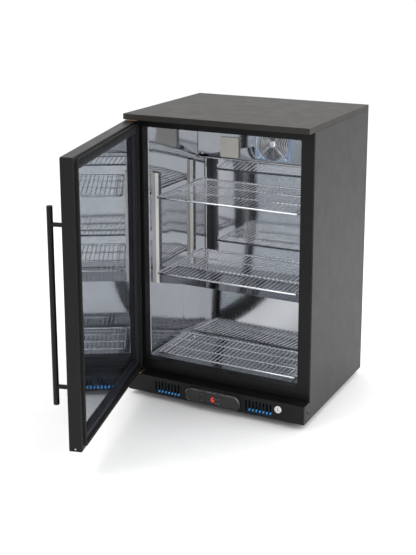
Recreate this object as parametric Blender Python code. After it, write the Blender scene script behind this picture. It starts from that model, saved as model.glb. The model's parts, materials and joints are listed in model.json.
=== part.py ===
"""Undercounter back-bar refrigerator with one glass door, as separate named parts.

The cabinet stands on z = 0 and faces -Y. The shelves, the door, the lock, the controller's
buttons and the two fans move. Every length is in metres and is first written in the cabinet's own
frame: x = 0 is its middle and y = 0 is the front of the carcass. The door is written closed and
hangs from an empty on its hinge line, which holds it open at rest.
"""

import math

import bmesh
import bpy
from mathutils import Euler, Matrix, Vector

# Cabinet
WIDTH = 0.600
HEIGHT = 0.900
DEPTH = 0.452
OVERHANG = 0.043
BASE_Z = 0.018
WORKTOP_THICK = 0.0175
SHEET = 0.0012
RETURN = 0.0035
GAP = 0.0003
HALF = WIDTH / 2
INNER_HALF = HALF - SHEET
WORKTOP_Z = HEIGHT - WORKTOP_THICK

# Opening and cold room
OPENING_HALF = 0.2585
OPENING_LOW = 0.113
OPENING_HIGH = 0.857
REVEAL_DEEP = 0.030
REVEAL_THICK = 0.0015
LINER_SHEET = 0.001
LINER_BACK = 0.412
STEP_FRONT = 0.250
STEP_TOP = 0.284
ENGINE_FRONT = 0.285
ENGINE_TOP = 0.250

# Kick plate and what it carries
KICK_TOP = 0.075
KICK_CORNER = 0.004
SLOT_COUNT = 8
SLOT_WIDE = 0.0055
SLOT_LOW = 0.0235
SLOT_HIGH = 0.0625
LEFT_SLOTS = (-0.2013, -0.1156)
RIGHT_SLOTS = (0.1092, 0.1953)
BEZEL_HALF = 0.0945
BEZEL_LOW = 0.0195
BEZEL_HIGH = 0.0675
BEZEL_CORNER = 0.0235
BEZEL_PROUD = 0.008
DISPLAY_X = (-0.042, 0.0095)
DISPLAY_Z = (0.0275, 0.0545)
BUTTON_WIDE = 0.0064
BUTTON_X = (0.0145, 0.0235)
BUTTON_Z = (0.0455, 0.0325)
BUTTON_FRONT = -0.0494
BUTTON_BACK = -0.0444
LOCK_X = 0.217
LOCK_Z = 0.052
LOCK_RADIUS = 0.0115
PLUG_RADIUS = 0.0065
CAM_LONG = 0.034
CAM_WIDE = 0.012

# Door
DOOR_HALF = 0.2975
DOOR_LOW = 0.079
DOOR_HIGH = 0.8785
DOOR_FRONT = -OVERHANG
DOOR_BACK = -0.0065
RAIL_WIDE = 0.029
FRONT_LIP = 0.036
BEAD_WIDE = 0.0385
PANE_THICK = 0.004
PANE_GAP = 0.012
GASKET_WIDE = 0.014
GASKET_SIDE = 0.0145
GASKET_END = 0.007
HINGE_X = -0.283
HINGE_Y = -0.024
DOOR_OPEN = math.radians(75)
PIN_RADIUS = 0.0035
HANDLE_X = 0.2717
HANDLE_Y = -0.083
HANDLE_RADIUS = 0.0082
HANDLE_LOW = 0.200
HANDLE_HIGH = 0.746
POST_RADIUS = 0.007
POST_HEIGHTS = {"lower": 0.2515, "upper": 0.6965}

# Shelves
SHELF_HALF = 0.240
SHELF_FRONT = 0.0375
SHELF_BACK = 0.345
RACK_BACK = 0.235
BAR = 0.005
SLAT_COUNT = 17
SHELF_HEIGHTS = {"upper": 0.632, "lower": 0.388}
RACK_Z = 0.125
UPRIGHT_LONG = 0.018
UPRIGHT_DEEP = 0.012
UPRIGHT_LOW = 0.342
UPRIGHT_HIGH = 0.700
UPRIGHT_Y = {"front": 0.070, "rear": 0.300}
HOLE_PITCH = 0.0203
HOLE_HALF = 0.0024

# Evaporator and its fan
COVER_Y = 0.358
COVER_LOW = 0.699
FAN_X = 0.016
FAN_Z = 0.767
FAN_HOLE = 0.057
GUARD_RADIUS = 0.0565
GUARD_Y = 0.347
PLATE_HALF = 0.064
PLATE_BELOW = 0.0555
PLATE_HOLE = 0.0545

# Lamp and sensor
LAMP_Y = (0.034, 0.058)
LAMP_HALF = 0.232
LAMP_THICK = 0.0035
LENS_THICK = 0.0015
SENSOR_X = (-0.172, -0.106)
SENSOR_Z = (0.708, 0.776)

# Condensing unit
COMPRESSOR_X = -0.120
COMPRESSOR_Y = 0.369
COMPRESSOR_RADIUS = 0.066
COIL_X = (0.020, 0.260)
COIL_Z = (0.036, 0.236)
BLOWER_X = 0.140
BLOWER_Z = 0.136
BLOWER_HOLE = 0.078

# Levelling feet
FOOT_X = 0.255
FOOT_Y = (0.035, 0.410)
FOOT_RADIUS = 0.016

# The assembly is shifted so that the origin is below the middle of its bounding box.
ORIGIN_SHIFT = (0.0025, 0.0685, 0.0)

PLANES = {"X": (1, 2, 0), "Y": (0, 2, 1), "Z": (0, 1, 2)}


# ---------------------------------------------------------------- materials

def material(name, colour, roughness, metallic=0.0, alpha=1.0):
    """A Principled material with the part's own colour, roughness and metallic value."""
    made = bpy.data.materials.get(name)
    if made:
        return made
    made = bpy.data.materials.new(name)
    made.use_nodes = True
    shader = made.node_tree.nodes["Principled BSDF"]
    shader.inputs["Base Color"].default_value = (*colour, 1.0)
    shader.inputs["Roughness"].default_value = roughness
    shader.inputs["Metallic"].default_value = metallic
    shader.inputs["Alpha"].default_value = alpha
    made.diffuse_color = (*colour, alpha)
    return made


def black_paint():
    return material("black_paint", (0.030, 0.030, 0.032), 0.42)


def galvanised():
    return material("galvanised_steel", (0.45, 0.46, 0.47), 0.40, 1.0)


def polished():
    return material("polished_liner", (0.80, 0.81, 0.82), 0.08, 1.0)


def chrome():
    return material("chrome", (0.78, 0.78, 0.78), 0.12, 1.0)


def black_plastic():
    return material("black_plastic", (0.022, 0.022, 0.025), 0.35)


def soft_black():
    return material("gasket_rubber", (0.018, 0.018, 0.020), 0.60)


def white_paint():
    return material("white_upright", (0.78, 0.76, 0.72), 0.40)


def blue_paint():
    return material("blue_base", (0.07, 0.36, 0.80), 0.45)


def foam():
    return material("foam", (0.85, 0.74, 0.42), 0.90)


def door_glass():
    return material("door_glass", (0.60, 0.64, 0.66), 0.04, 0.0, 0.45)


def cream_plastic():
    return material("cream_plastic", (0.74, 0.68, 0.58), 0.45)


def brass():
    return material("brass", (0.72, 0.45, 0.20), 0.30, 1.0)


# ---------------------------------------------------------------- building blocks

def start_scene():
    for thing in list(bpy.data.objects):
        bpy.data.objects.remove(thing, do_unlink=True)


def empty(name, place=(0, 0, 0), parent=None):
    guide = bpy.data.objects.new(name, None)
    guide.location = place
    guide.parent = parent
    bpy.context.scene.collection.objects.link(guide)
    return guide


def finish(name, mesh, colour, parent, centre=(0, 0, 0), smooth=False):
    """Turns a bmesh drawn in the cabinet's frame into an object whose origin is at centre."""
    bmesh.ops.recalc_face_normals(mesh, faces=mesh.faces[:])
    bmesh.ops.translate(mesh, verts=mesh.verts[:], vec=-Vector(centre))
    data = bpy.data.meshes.new(name)
    mesh.to_mesh(data)
    mesh.free()
    if smooth:
        data.shade_smooth()
        data.set_sharp_from_angle(angle=math.radians(35))
    part = bpy.data.objects.new(name, data)
    part.location = Vector(centre) - drawn_at(parent)
    part.parent = parent
    bpy.context.scene.collection.objects.link(part)
    if colour:
        data.materials.append(colour)
    return part


def pivot(name, place, parent):
    """An empty on a joint's axis. Parts under it are still drawn in the cabinet's frame."""
    guide = empty(name, place, parent)
    guide["drawn_at"] = place
    return guide


def drawn_at(parent):
    """Where a parent's own origin lies in the cabinet's frame."""
    return Vector(tuple(parent["drawn_at"]))


def boolean(target, tool_mesh, how="DIFFERENCE"):
    """Cuts or joins a bmesh drawn in the cabinet's frame with the target."""
    bmesh.ops.recalc_face_normals(tool_mesh, faces=tool_mesh.faces[:])
    centre = target.location + drawn_at(target.parent)
    bmesh.ops.translate(tool_mesh, verts=tool_mesh.verts[:], vec=-centre)
    name = f"{target.name}_tool_{len(target.modifiers) + 1}"
    data = bpy.data.meshes.new(name)
    tool_mesh.to_mesh(data)
    tool_mesh.free()
    tool = bpy.data.objects.new(name, data)
    tool.location = target.location
    tool.parent = target.parent
    tool.hide_render = True
    tool.display_type = "WIRE"
    bpy.context.scene.collection.objects.link(tool)
    step = target.modifiers.new(how.lower(), "BOOLEAN")
    step.operation = how
    step.solver = "EXACT"
    step.object = tool
    return target


def prism(mesh, outline, axis, low, high):
    """Extrudes a closed outline, given in the plane that faces the axis."""
    first, second, along = PLANES[axis]
    ends = []
    for level in (low, high):
        ring = []
        for a, b in outline:
            point = [0.0, 0.0, 0.0]
            point[first], point[second], point[along] = a, b, level
            ring.append(mesh.verts.new(point))
        ends.append(ring)
    mesh.faces.new(ends[0])
    mesh.faces.new(ends[1][::-1])
    count = len(outline)
    for i in range(count):
        j = (i + 1) % count
        mesh.faces.new((ends[0][i], ends[0][j], ends[1][j], ends[1][i]))


def box(mesh, x, y, z):
    prism(mesh, [(x[0], y[0]), (x[1], y[0]), (x[1], y[1]), (x[0], y[1])], "Z", *z)


def circle(centre, radius, sides):
    turn = 2 * math.pi / sides
    return [
        (centre[0] + radius * math.cos(i * turn), centre[1] + radius * math.sin(i * turn))
        for i in range(sides)
    ]


def rounded(x, z, corner, steps=4):
    """The outline of a rectangle with round corners."""
    points = []
    middles = ((x[1], z[1], 0), (x[0], z[1], 90), (x[0], z[0], 180), (x[1], z[0], 270))
    for px, pz, start in middles:
        cx = px - corner if start in (0, 270) else px + corner
        cz = pz - corner if start in (0, 90) else pz + corner
        for i in range(steps + 1):
            angle = math.radians(start + 90 * i / steps)
            points.append((cx + corner * math.cos(angle), cz + corner * math.sin(angle)))
    return points


def rings(mesh, loops, closed=True):
    """Joins loops of equal length into a skin: a closed ring of them, or a stack with two caps."""
    made = [[mesh.verts.new(point) for point in loop] for loop in loops]
    count = len(loops[0])
    last = len(made) if closed else len(made) - 1
    for k in range(last):
        here, there = made[k], made[(k + 1) % len(made)]
        for i in range(count):
            j = (i + 1) % count
            mesh.faces.new((here[i], here[j], there[j], there[i]))
    if not closed:
        mesh.faces.new(made[0][::-1])
        mesh.faces.new(made[-1])


def rectangle(x, z, y, cut=0.0):
    """A loop in a plane that faces Y. Its corners are cut off by the given length."""
    if not cut:
        return [(x[0], y, z[0]), (x[1], y, z[0]), (x[1], y, z[1]), (x[0], y, z[1])]
    return [
        (x[0] + cut, y, z[0]), (x[1] - cut, y, z[0]),
        (x[1], y, z[0] + cut), (x[1], y, z[1] - cut),
        (x[1] - cut, y, z[1]), (x[0] + cut, y, z[1]),
        (x[0], y, z[1] - cut), (x[0], y, z[0] + cut),
    ]


def turned_loops(profile, centre, axis, sides):
    """Circles for a profile of (radius, height) points about an axis."""
    first, second, along = PLANES[axis]
    loops = []
    for radius, height in profile:
        loop = []
        for a, b in circle(centre, radius, sides):
            point = [0.0, 0.0, 0.0]
            point[first], point[second], point[along] = a, b, height
            loop.append(point)
        loops.append(loop)
    return loops


def turned_solid(mesh, profile, centre, axis, sides=24):
    rings(mesh, turned_loops(profile, centre, axis, sides), closed=False)


def turned_ring(mesh, profile, centre, axis, sides=24):
    rings(mesh, turned_loops(profile, centre, axis, sides), closed=True)


def cells(mesh, grid, thick, is_solid, place, loops=False):
    """Builds a slab from the solid cells of a grid; place maps (a, b, height) to a point.

    With loops set, the last column borders on the first, as round a circle.
    """
    rows, columns = grid
    across = len(rows) - 1
    along = len(columns) if loops else len(columns) - 1
    corner = {}

    def vertex(i, j, level):
        j = j % along if loops else j
        key = (i, j, level)
        if key not in corner:
            corner[key] = mesh.verts.new(place(rows[i], columns[j], thick[level]))
        return corner[key]

    def solid(i, j):
        j = j % along if loops else j
        return 0 <= i < across and 0 <= j < along and is_solid(i, j)

    for i in range(across):
        for j in range(along):
            if not solid(i, j):
                continue
            square = [(i, j), (i + 1, j), (i + 1, j + 1), (i, j + 1)]
            mesh.faces.new([vertex(a, b, 1) for a, b in square])
            mesh.faces.new([vertex(a, b, 0) for a, b in square[::-1]])
            for side, beyond in enumerate(((i, j - 1), (i + 1, j), (i, j + 1), (i - 1, j))):
                if not solid(*beyond):
                    a, b = square[side], square[(side + 1) % 4]
                    wall = (vertex(*a, 0), vertex(*b, 0), vertex(*b, 1), vertex(*a, 1))
                    mesh.faces.new(wall)


# ---------------------------------------------------------------- carcass

def worktop(root):
    """A folded steel top with a boxed front overhang."""
    mesh = bmesh.new()
    box(mesh, (-HALF, HALF), (-OVERHANG, DEPTH), (WORKTOP_Z, HEIGHT))
    top = finish("worktop", mesh, black_paint(), root)
    front, back = -OVERHANG + SHEET, DEPTH - SHEET
    roof = HEIGHT - SHEET
    floor = WORKTOP_Z + SHEET
    hollow = bmesh.new()
    outline = [
        (front, floor), (SHEET, floor), (SHEET, WORKTOP_Z - SHEET),
        (back, WORKTOP_Z - SHEET), (back, roof), (front, roof),
    ]
    prism(hollow, outline, "X", -INNER_HALF, INNER_HALF)
    boolean(top, hollow)


def side_panel(root, name, side):
    """An outer side sheet with a short return behind the front edge."""
    outline = [
        (HALF, DEPTH), (HALF, SHEET), (HALF - SHEET, 0), (HALF - RETURN, 0),
        (HALF - RETURN, SHEET), (HALF - SHEET, SHEET), (HALF - SHEET, DEPTH),
    ]
    mesh = bmesh.new()
    prism(mesh, [(side * x, y) for x, y in outline], "Z", BASE_Z, WORKTOP_Z - GAP)
    finish(name, mesh, black_paint(), root)


def front_frame(root):
    """The painted surround and the deep reveal that the door's gasket closes on."""
    outer_x = (-HALF + RETURN + GAP, HALF - RETURN - GAP)
    outer_z = (KICK_TOP + 0.0008, WORKTOP_Z - GAP)
    inner_x = (-OPENING_HALF, OPENING_HALF)
    inner_z = (OPENING_LOW, OPENING_HIGH)
    back_x = (-OPENING_HALF - REVEAL_THICK, OPENING_HALF + REVEAL_THICK)
    back_z = (OPENING_LOW - REVEAL_THICK, OPENING_HIGH + REVEAL_THICK)
    mesh = bmesh.new()
    rings(mesh, [
        rectangle(outer_x, outer_z, 0.0),
        rectangle(inner_x, inner_z, 0.0),
        rectangle(inner_x, inner_z, REVEAL_DEEP),
        rectangle(back_x, back_z, REVEAL_DEEP),
        rectangle(back_x, back_z, SHEET),
        rectangle(outer_x, outer_z, SHEET),
    ])
    finish("front_frame", mesh, black_paint(), root)


def room_outline(front, grow):
    """The cold room's side outline, in Y and Z, grown outwards by a wall thickness."""
    return [
        (front, OPENING_LOW - grow), (STEP_FRONT + grow, OPENING_LOW - grow),
        (STEP_FRONT + grow, STEP_TOP - grow), (LINER_BACK + grow, STEP_TOP - grow),
        (LINER_BACK + grow, OPENING_HIGH + grow), (front, OPENING_HIGH + grow),
    ]


def liner(root):
    """The polished inner shell, stepped over the compressor."""
    mesh = bmesh.new()
    half = OPENING_HALF + LINER_SHEET
    prism(mesh, room_outline(REVEAL_DEEP + GAP, LINER_SHEET), "X", -half, half)
    shell = finish("liner", mesh, polished(), root)
    hollow = bmesh.new()
    prism(hollow, room_outline(REVEAL_DEEP - 0.010, 0.0), "X", -OPENING_HALF, OPENING_HALF)
    boolean(shell, hollow)


def insulation(root):
    """The foamed-in body between the outer sheets and the liner."""
    half = INNER_HALF - 0.0005
    front, back = SHEET + 0.0004, DEPTH - SHEET - 0.0004
    floor, roof = KICK_TOP + SHEET, HEIGHT - SHEET - 0.0004
    outline = [
        (front, floor), (ENGINE_FRONT, floor), (ENGINE_FRONT, ENGINE_TOP),
        (back, ENGINE_TOP), (back, roof), (front, roof),
    ]
    mesh = bmesh.new()
    prism(mesh, outline, "X", -half, half)
    body = finish("foam_insulation", mesh, foam(), root)
    room = bmesh.new()
    wall = OPENING_HALF + REVEAL_THICK + GAP
    prism(room, room_outline(-0.010, REVEAL_THICK + GAP), "X", -wall, wall)
    boolean(body, room)


def back_sheets(root):
    """The plain upper back and the louvred panel that closes the engine room."""
    y = (DEPTH - SHEET, DEPTH)
    x = (-INNER_HALF + GAP, INNER_HALF - GAP)
    mesh = bmesh.new()
    box(mesh, x, y, (ENGINE_TOP + 0.0153, WORKTOP_Z - GAP))
    finish("back_panel", mesh, galvanised(), root)
    mesh = bmesh.new()
    box(mesh, x, y, (BASE_Z + 0.0135, ENGINE_TOP + 0.0150))
    grille = finish("rear_grille", mesh, galvanised(), root)
    slots = bmesh.new()
    rows, columns = 8, 4
    for row in range(rows):
        z = 0.070 + row * 0.022
        for column in range(columns):
            x_left = -0.258 + column * 0.133
            box(slots, (x_left, x_left + 0.117), (DEPTH - 0.01, DEPTH + 0.01), (z, z + 0.007))
    inlet = (0.195, 0.049)
    box(slots, (inlet[0] - 0.0153, inlet[0] + 0.0153), (DEPTH - 0.01, DEPTH + 0.01),
        (inlet[1] - 0.0123, inlet[1] + 0.0123))
    boolean(grille, slots)
    mesh = bmesh.new()
    box(mesh, (inlet[0] - 0.015, inlet[0] + 0.015), (DEPTH - 0.024, DEPTH - GAP),
        (inlet[1] - 0.012, inlet[1] + 0.012))
    socket = finish("power_inlet", mesh, black_plastic(), root)
    well = bmesh.new()
    box(well, (inlet[0] - 0.012, inlet[0] + 0.012), (DEPTH - 0.016, DEPTH + 0.01),
        (inlet[1] - 0.008, inlet[1] + 0.008))
    boolean(socket, well)


def base_tray(root):
    """The blue floor of the base. It reaches forward under the kick plate's vents."""
    floor = BASE_Z + 0.0006
    wall = 0.0014
    half = HALF - RETURN - GAP
    front, back = -OVERHANG + SHEET + 0.0004, DEPTH - SHEET - 0.0004
    cut = 0.003
    outline = [
        (-half + cut, front), (half - cut, front), (half, front + cut),
        (half, back), (-half, back), (-half, front + cut),
    ]
    mesh = bmesh.new()
    prism(mesh, outline, "Z", floor, floor + 0.011)
    tray = finish("base_tray", mesh, blue_paint(), root)
    hollow = bmesh.new()
    box(hollow, (-half + wall, half - wall), (front - 0.01, back - wall), (floor + wall, 0.05))
    boolean(tray, hollow)
    holes = bmesh.new()
    for x in (-FOOT_X, FOOT_X):
        for y in FOOT_Y:
            prism(holes, circle((x, y), 0.0046, 12), "Z", 0.010, 0.025)
    boolean(tray, holes)


def levelling_feet(root):
    """Four turned feet with their lock nuts, screwed up through the base."""
    profile = [
        (FOOT_RADIUS, 0.0), (FOOT_RADIUS, 0.005), (0.0135, 0.008), (0.004, 0.0085),
        (0.004, 0.0120), (0.0075, 0.0122), (0.0075, 0.0178), (0.004, 0.0180), (0.004, 0.036),
    ]
    places = {
        "front_left": (-FOOT_X, FOOT_Y[0]), "front_right": (FOOT_X, FOOT_Y[0]),
        "rear_left": (-FOOT_X, FOOT_Y[1]), "rear_right": (FOOT_X, FOOT_Y[1]),
    }
    for corner, (x, y) in places.items():
        mesh = bmesh.new()
        turned_solid(mesh, profile, (x, y), "Z", 16)
        finish(f"foot_{corner}", mesh, black_plastic(), root, (x, y, 0.0), smooth=True)


# ---------------------------------------------------------------- kick plate and controls

def slot_centres(span):
    first = span[0] + SLOT_WIDE / 2
    last = span[1] - SLOT_WIDE / 2
    return [first + (last - first) * i / (SLOT_COUNT - 1) for i in range(SLOT_COUNT)]


def folded_outline(half, front, back, corner):
    """A plan outline with two round front corners."""
    points = [(half, back)]
    for start, side in ((0, 1), (-90, -1)):
        for i in range(4):
            angle = math.radians(start - 90 * i / 3)
            x = side * (half - corner) + corner * math.cos(angle)
            points.append((x, front + corner + corner * math.sin(angle)))
    points.append((-half, back))
    return points


def kick_plate(root):
    """The folded front plinth: vents, controller cut-out, lock hole and screw holes."""
    mesh = bmesh.new()
    prism(mesh, folded_outline(HALF, -OVERHANG, -GAP, KICK_CORNER), "Z", BASE_Z, KICK_TOP)
    plate = finish("kick_plate", mesh, black_paint(), root)
    inside = bmesh.new()
    inner = folded_outline(INNER_HALF, -OVERHANG + SHEET, 0.010, KICK_CORNER - SHEET)
    prism(inside, inner, "Z", BASE_Z - 0.01, KICK_TOP - SHEET)
    boolean(plate, inside)

    openings = bmesh.new()
    through = (-OVERHANG - 0.005, -OVERHANG + 0.005)
    for span in (LEFT_SLOTS, RIGHT_SLOTS):
        for x in slot_centres(span):
            edges = (x - SLOT_WIDE / 2, x + SLOT_WIDE / 2)
            outline = rounded(edges, (SLOT_LOW, SLOT_HIGH), SLOT_WIDE / 2 - 0.0002, 2)
            prism(openings, outline, "Y", *through)
    prism(openings, rounded((-0.0523, 0.0523), (0.0257, 0.0613), 0.002, 1), "Y", *through)
    prism(openings, circle((LOCK_X, LOCK_Z), 0.0098, 20), "Y", *through)
    box(openings, (LOCK_X - 0.008, LOCK_X + 0.033), (-0.031, -0.022), (0.070, 0.080))
    for side in (-1, 1):
        x = (side * HALF - 0.005, side * HALF + 0.005)
        prism(openings, circle((-0.0175, 0.048), 0.0045, 14), "X", *x)
    boolean(plate, openings)


def button_places():
    names = ("up", "light", "down", "set")
    places = [(x, z) for z in BUTTON_Z for x in BUTTON_X]
    return dict(zip(names, places))


def controller(root):
    """The raised bezel, its display window, four buttons and the electronics behind."""
    back = DOOR_FRONT - GAP
    lip = DOOR_FRONT - BEZEL_PROUD
    face = DOOR_FRONT - 0.006

    def stadium(inset, y):
        x = (-BEZEL_HALF + inset, BEZEL_HALF - inset)
        z = (BEZEL_LOW + inset, BEZEL_HIGH - inset)
        return [(a, y, b) for a, b in rounded(x, z, BEZEL_CORNER - inset, 6)]

    mesh = bmesh.new()
    rings(mesh, [
        stadium(0.0, back), stadium(0.0, lip + 0.0020), stadium(0.0007, lip + 0.0006),
        stadium(0.0020, lip), stadium(0.0032, lip), stadium(0.0046, face),
    ], closed=False)
    bezel = finish("controller_bezel", mesh, black_plastic(), root, smooth=True)
    windows = bmesh.new()
    through = (lip - 0.005, back + 0.005)
    x, z = DISPLAY_X, DISPLAY_Z
    window = rounded((x[0] - GAP, x[1] + GAP), (z[0] - GAP, z[1] + GAP), 0.002, 2)
    prism(windows, window, "Y", *through)
    hole = BUTTON_WIDE / 2 + GAP
    for bx, bz in button_places().values():
        box(windows, (bx - hole, bx + hole), through, (bz - hole, bz + hole))
    boolean(bezel, windows)

    mesh = bmesh.new()
    prism(mesh, rounded(x, z, 0.0017, 2), "Y", face, face + 0.0018)
    finish("display_lens", mesh, material("display_lens", (0.02, 0.02, 0.022), 0.12), root)

    mesh = bmesh.new()
    box(mesh, (-0.050, 0.050), (DOOR_FRONT, -0.012), (0.027, 0.060))
    finish("controller_module", mesh, black_plastic(), root)

    for name, (bx, bz) in button_places().items():
        slide = pivot(f"{name}_button_slide", (bx, BUTTON_BACK, bz), root)
        mesh = bmesh.new()
        half = BUTTON_WIDE / 2
        outline = rounded((bx - half, bx + half), (bz - half, bz + half), 0.0012, 2)
        prism(mesh, outline, "Y", BUTTON_FRONT, BUTTON_BACK)
        centre = (bx, BUTTON_BACK, bz)
        finish(f"button_{name}", mesh, black_plastic(), slide, centre, smooth=True)


def lock(root):
    """A cam lock. The cam turns up through the plinth's top into the door's bottom rail."""
    centre = (LOCK_X, LOCK_Z)
    back = DOOR_FRONT - GAP
    mesh = bmesh.new()
    turned_ring(mesh, [
        (PLUG_RADIUS + GAP, back - 0.0024), (LOCK_RADIUS - 0.0008, back - 0.0024),
        (LOCK_RADIUS, back - 0.0014), (LOCK_RADIUS, back), (0.0094, back),
        (0.0094, -0.0290), (PLUG_RADIUS + GAP, -0.0290),
    ], centre, "Y", 28)
    finish("lock_barrel", mesh, chrome(), root, (LOCK_X, back, LOCK_Z), smooth=True)

    axis = pivot("lock_axis", (LOCK_X, -0.0285, LOCK_Z), root)
    mesh = bmesh.new()
    turned_solid(mesh, [
        (PLUG_RADIUS - 0.0006, back - 0.0032), (PLUG_RADIUS, back - 0.0026),
        (PLUG_RADIUS, -0.0285), (0.0035, -0.0285), (0.0035, -0.0245),
    ], centre, "Y", 24)
    plug = finish("lock_plug", mesh, chrome(), axis, (LOCK_X, -0.0285, LOCK_Z), smooth=True)
    keyway = bmesh.new()
    half_wide, half_tall = 0.0011, 0.0042
    box(keyway, (LOCK_X - half_wide, LOCK_X + half_wide), (back - 0.006, -0.0300),
        (LOCK_Z - half_tall, LOCK_Z + half_tall))
    boolean(plug, keyway)

    mesh = bmesh.new()
    half = CAM_WIDE / 2
    outline = [(LOCK_X - half * math.sin(a), LOCK_Z + half * math.cos(a))
               for a in [math.pi * i / 8 for i in range(9)]]
    outline += [(LOCK_X + CAM_LONG - 0.002, LOCK_Z - half),
                (LOCK_X + CAM_LONG, LOCK_Z - half + 0.002),
                (LOCK_X + CAM_LONG, LOCK_Z + half - 0.002),
                (LOCK_X + CAM_LONG - 0.002, LOCK_Z + half)]
    prism(mesh, outline, "Y", -0.0282, -0.0257)
    cam = finish("lock_cam", mesh, galvanised(), axis, (LOCK_X, -0.0285, LOCK_Z))
    bore = bmesh.new()
    prism(bore, circle(centre, 0.0038, 12), "Y", -0.035, -0.020)
    boolean(cam, bore)


# ---------------------------------------------------------------- door

def door_loop(inset, y, cut=0.0005):
    x = (-DOOR_HALF + inset, DOOR_HALF - inset)
    z = (DOOR_LOW + inset, DOOR_HIGH - inset)
    return rectangle(x, z, y, cut)


def gasket_loop(inset, y, cut=0.0005):
    """A loop measured inwards from the outer edge of the door's gasket."""
    side, end = GASKET_SIDE + inset, GASKET_END + inset
    x = (-DOOR_HALF + side, DOOR_HALF - side)
    z = (DOOR_LOW + end, DOOR_HIGH - end)
    return rectangle(x, z, y, cut)


def door_frame(hinge):
    """The door's painted rails, with the gasket's groove and the glass rebate."""
    seat = DOOR_FRONT + 0.0040
    groove = GASKET_WIDE / 2
    mesh = bmesh.new()
    rings(mesh, [
        door_loop(0.0012, DOOR_FRONT, 0.0020),
        door_loop(FRONT_LIP, DOOR_FRONT),
        door_loop(FRONT_LIP, seat),
        door_loop(RAIL_WIDE, seat),
        door_loop(RAIL_WIDE, DOOR_BACK),
        gasket_loop(groove + 0.0019, DOOR_BACK),
        gasket_loop(groove + 0.0019, DOOR_BACK - 0.0040),
        gasket_loop(groove - 0.0019, DOOR_BACK - 0.0040),
        gasket_loop(groove - 0.0019, DOOR_BACK),
        door_loop(0.0025, DOOR_BACK, 0.0020),
        door_loop(0.0008, DOOR_BACK - 0.0008, 0.0020),
        door_loop(0.0, DOOR_BACK - 0.0025, 0.0020),
        door_loop(0.0, DOOR_FRONT + 0.0012, 0.0020),
    ])
    frame = finish("door_frame", mesh, black_paint(), hinge)
    pockets = bmesh.new()
    box(pockets, (LOCK_X - 0.009, LOCK_X + 0.030), (-0.0340, -0.0180), (0.070, 0.0885))
    for low, high in ((0.070, 0.0955), (0.8620, 0.8900)):
        prism(pockets, circle((HINGE_X, HINGE_Y), PIN_RADIUS + 0.0007, 16), "Z", low, high)
    boolean(frame, pockets)


def door_glazing(hinge):
    """Two panes, the spacer between them and the bead that holds them in the frame."""
    edge = RAIL_WIDE + 0.0004
    front = DOOR_FRONT + 0.0044
    second = front + PANE_THICK + PANE_GAP
    for name, y in (("door_glass_outer", front), ("door_glass_inner", second)):
        mesh = bmesh.new()
        rings(mesh, [door_loop(edge, y), door_loop(edge, y + PANE_THICK)], closed=False)
        finish(name, mesh, door_glass(), hinge)
    inner_y = (front + PANE_THICK + GAP, second - GAP)
    mesh = bmesh.new()
    rings(mesh, [
        door_loop(edge, inner_y[0]), door_loop(edge + 0.009, inner_y[0]),
        door_loop(edge + 0.009, inner_y[1]), door_loop(edge, inner_y[1]),
    ])
    finish("glass_spacer", mesh, soft_black(), hinge)
    bead_low = second + PANE_THICK + GAP
    mesh = bmesh.new()
    rings(mesh, [
        door_loop(edge, bead_low), door_loop(BEAD_WIDE, bead_low),
        door_loop(BEAD_WIDE, DOOR_BACK - 0.001), door_loop(BEAD_WIDE - 0.001, DOOR_BACK),
        door_loop(edge, DOOR_BACK),
    ])
    finish("glazing_bead", mesh, black_plastic(), hinge)


def door_gasket(hinge):
    """The magnetic seal, with the tongue that pushes into the frame's groove."""
    low, high = DOOR_BACK + GAP, -GAP
    middle = GASKET_WIDE / 2
    mesh = bmesh.new()
    rings(mesh, [
        gasket_loop(0.0, high), gasket_loop(0.0, low),
        gasket_loop(middle - 0.0015, low), gasket_loop(middle - 0.0015, low - 0.0035),
        gasket_loop(middle + 0.0015, low - 0.0035), gasket_loop(middle + 0.0015, low),
        gasket_loop(GASKET_WIDE, low), gasket_loop(GASKET_WIDE, high),
    ])
    finish("door_gasket", mesh, soft_black(), hinge)


def handle(hinge):
    """A round pull bar on two posts."""
    axis = (HANDLE_X, HANDLE_Y)
    radius = HANDLE_RADIUS
    mesh = bmesh.new()
    turned_solid(mesh, [
        (radius - 0.0020, HANDLE_LOW), (radius - 0.0006, HANDLE_LOW + 0.0006),
        (radius, HANDLE_LOW + 0.0020), (radius, HANDLE_HIGH - 0.0020),
        (radius - 0.0006, HANDLE_HIGH - 0.0006), (radius - 0.0020, HANDLE_HIGH),
    ], axis, "Z", 20)
    centre = (HANDLE_X, HANDLE_Y, (HANDLE_LOW + HANDLE_HIGH) / 2)
    finish("handle_bar", mesh, black_paint(), hinge, centre, smooth=True)
    for name, z in POST_HEIGHTS.items():
        mesh = bmesh.new()
        prism(mesh, circle((HANDLE_X, z), POST_RADIUS, 18), "Y", HANDLE_Y, DOOR_FRONT - GAP)
        centre = (HANDLE_X, DOOR_FRONT - GAP, z)
        post = finish(f"handle_post_{name}", mesh, black_paint(), hinge, centre, smooth=True)
        saddle = bmesh.new()
        prism(saddle, circle(axis, radius + GAP, 20), "Z", z - 0.02, z + 0.02)
        boolean(post, saddle)


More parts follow.
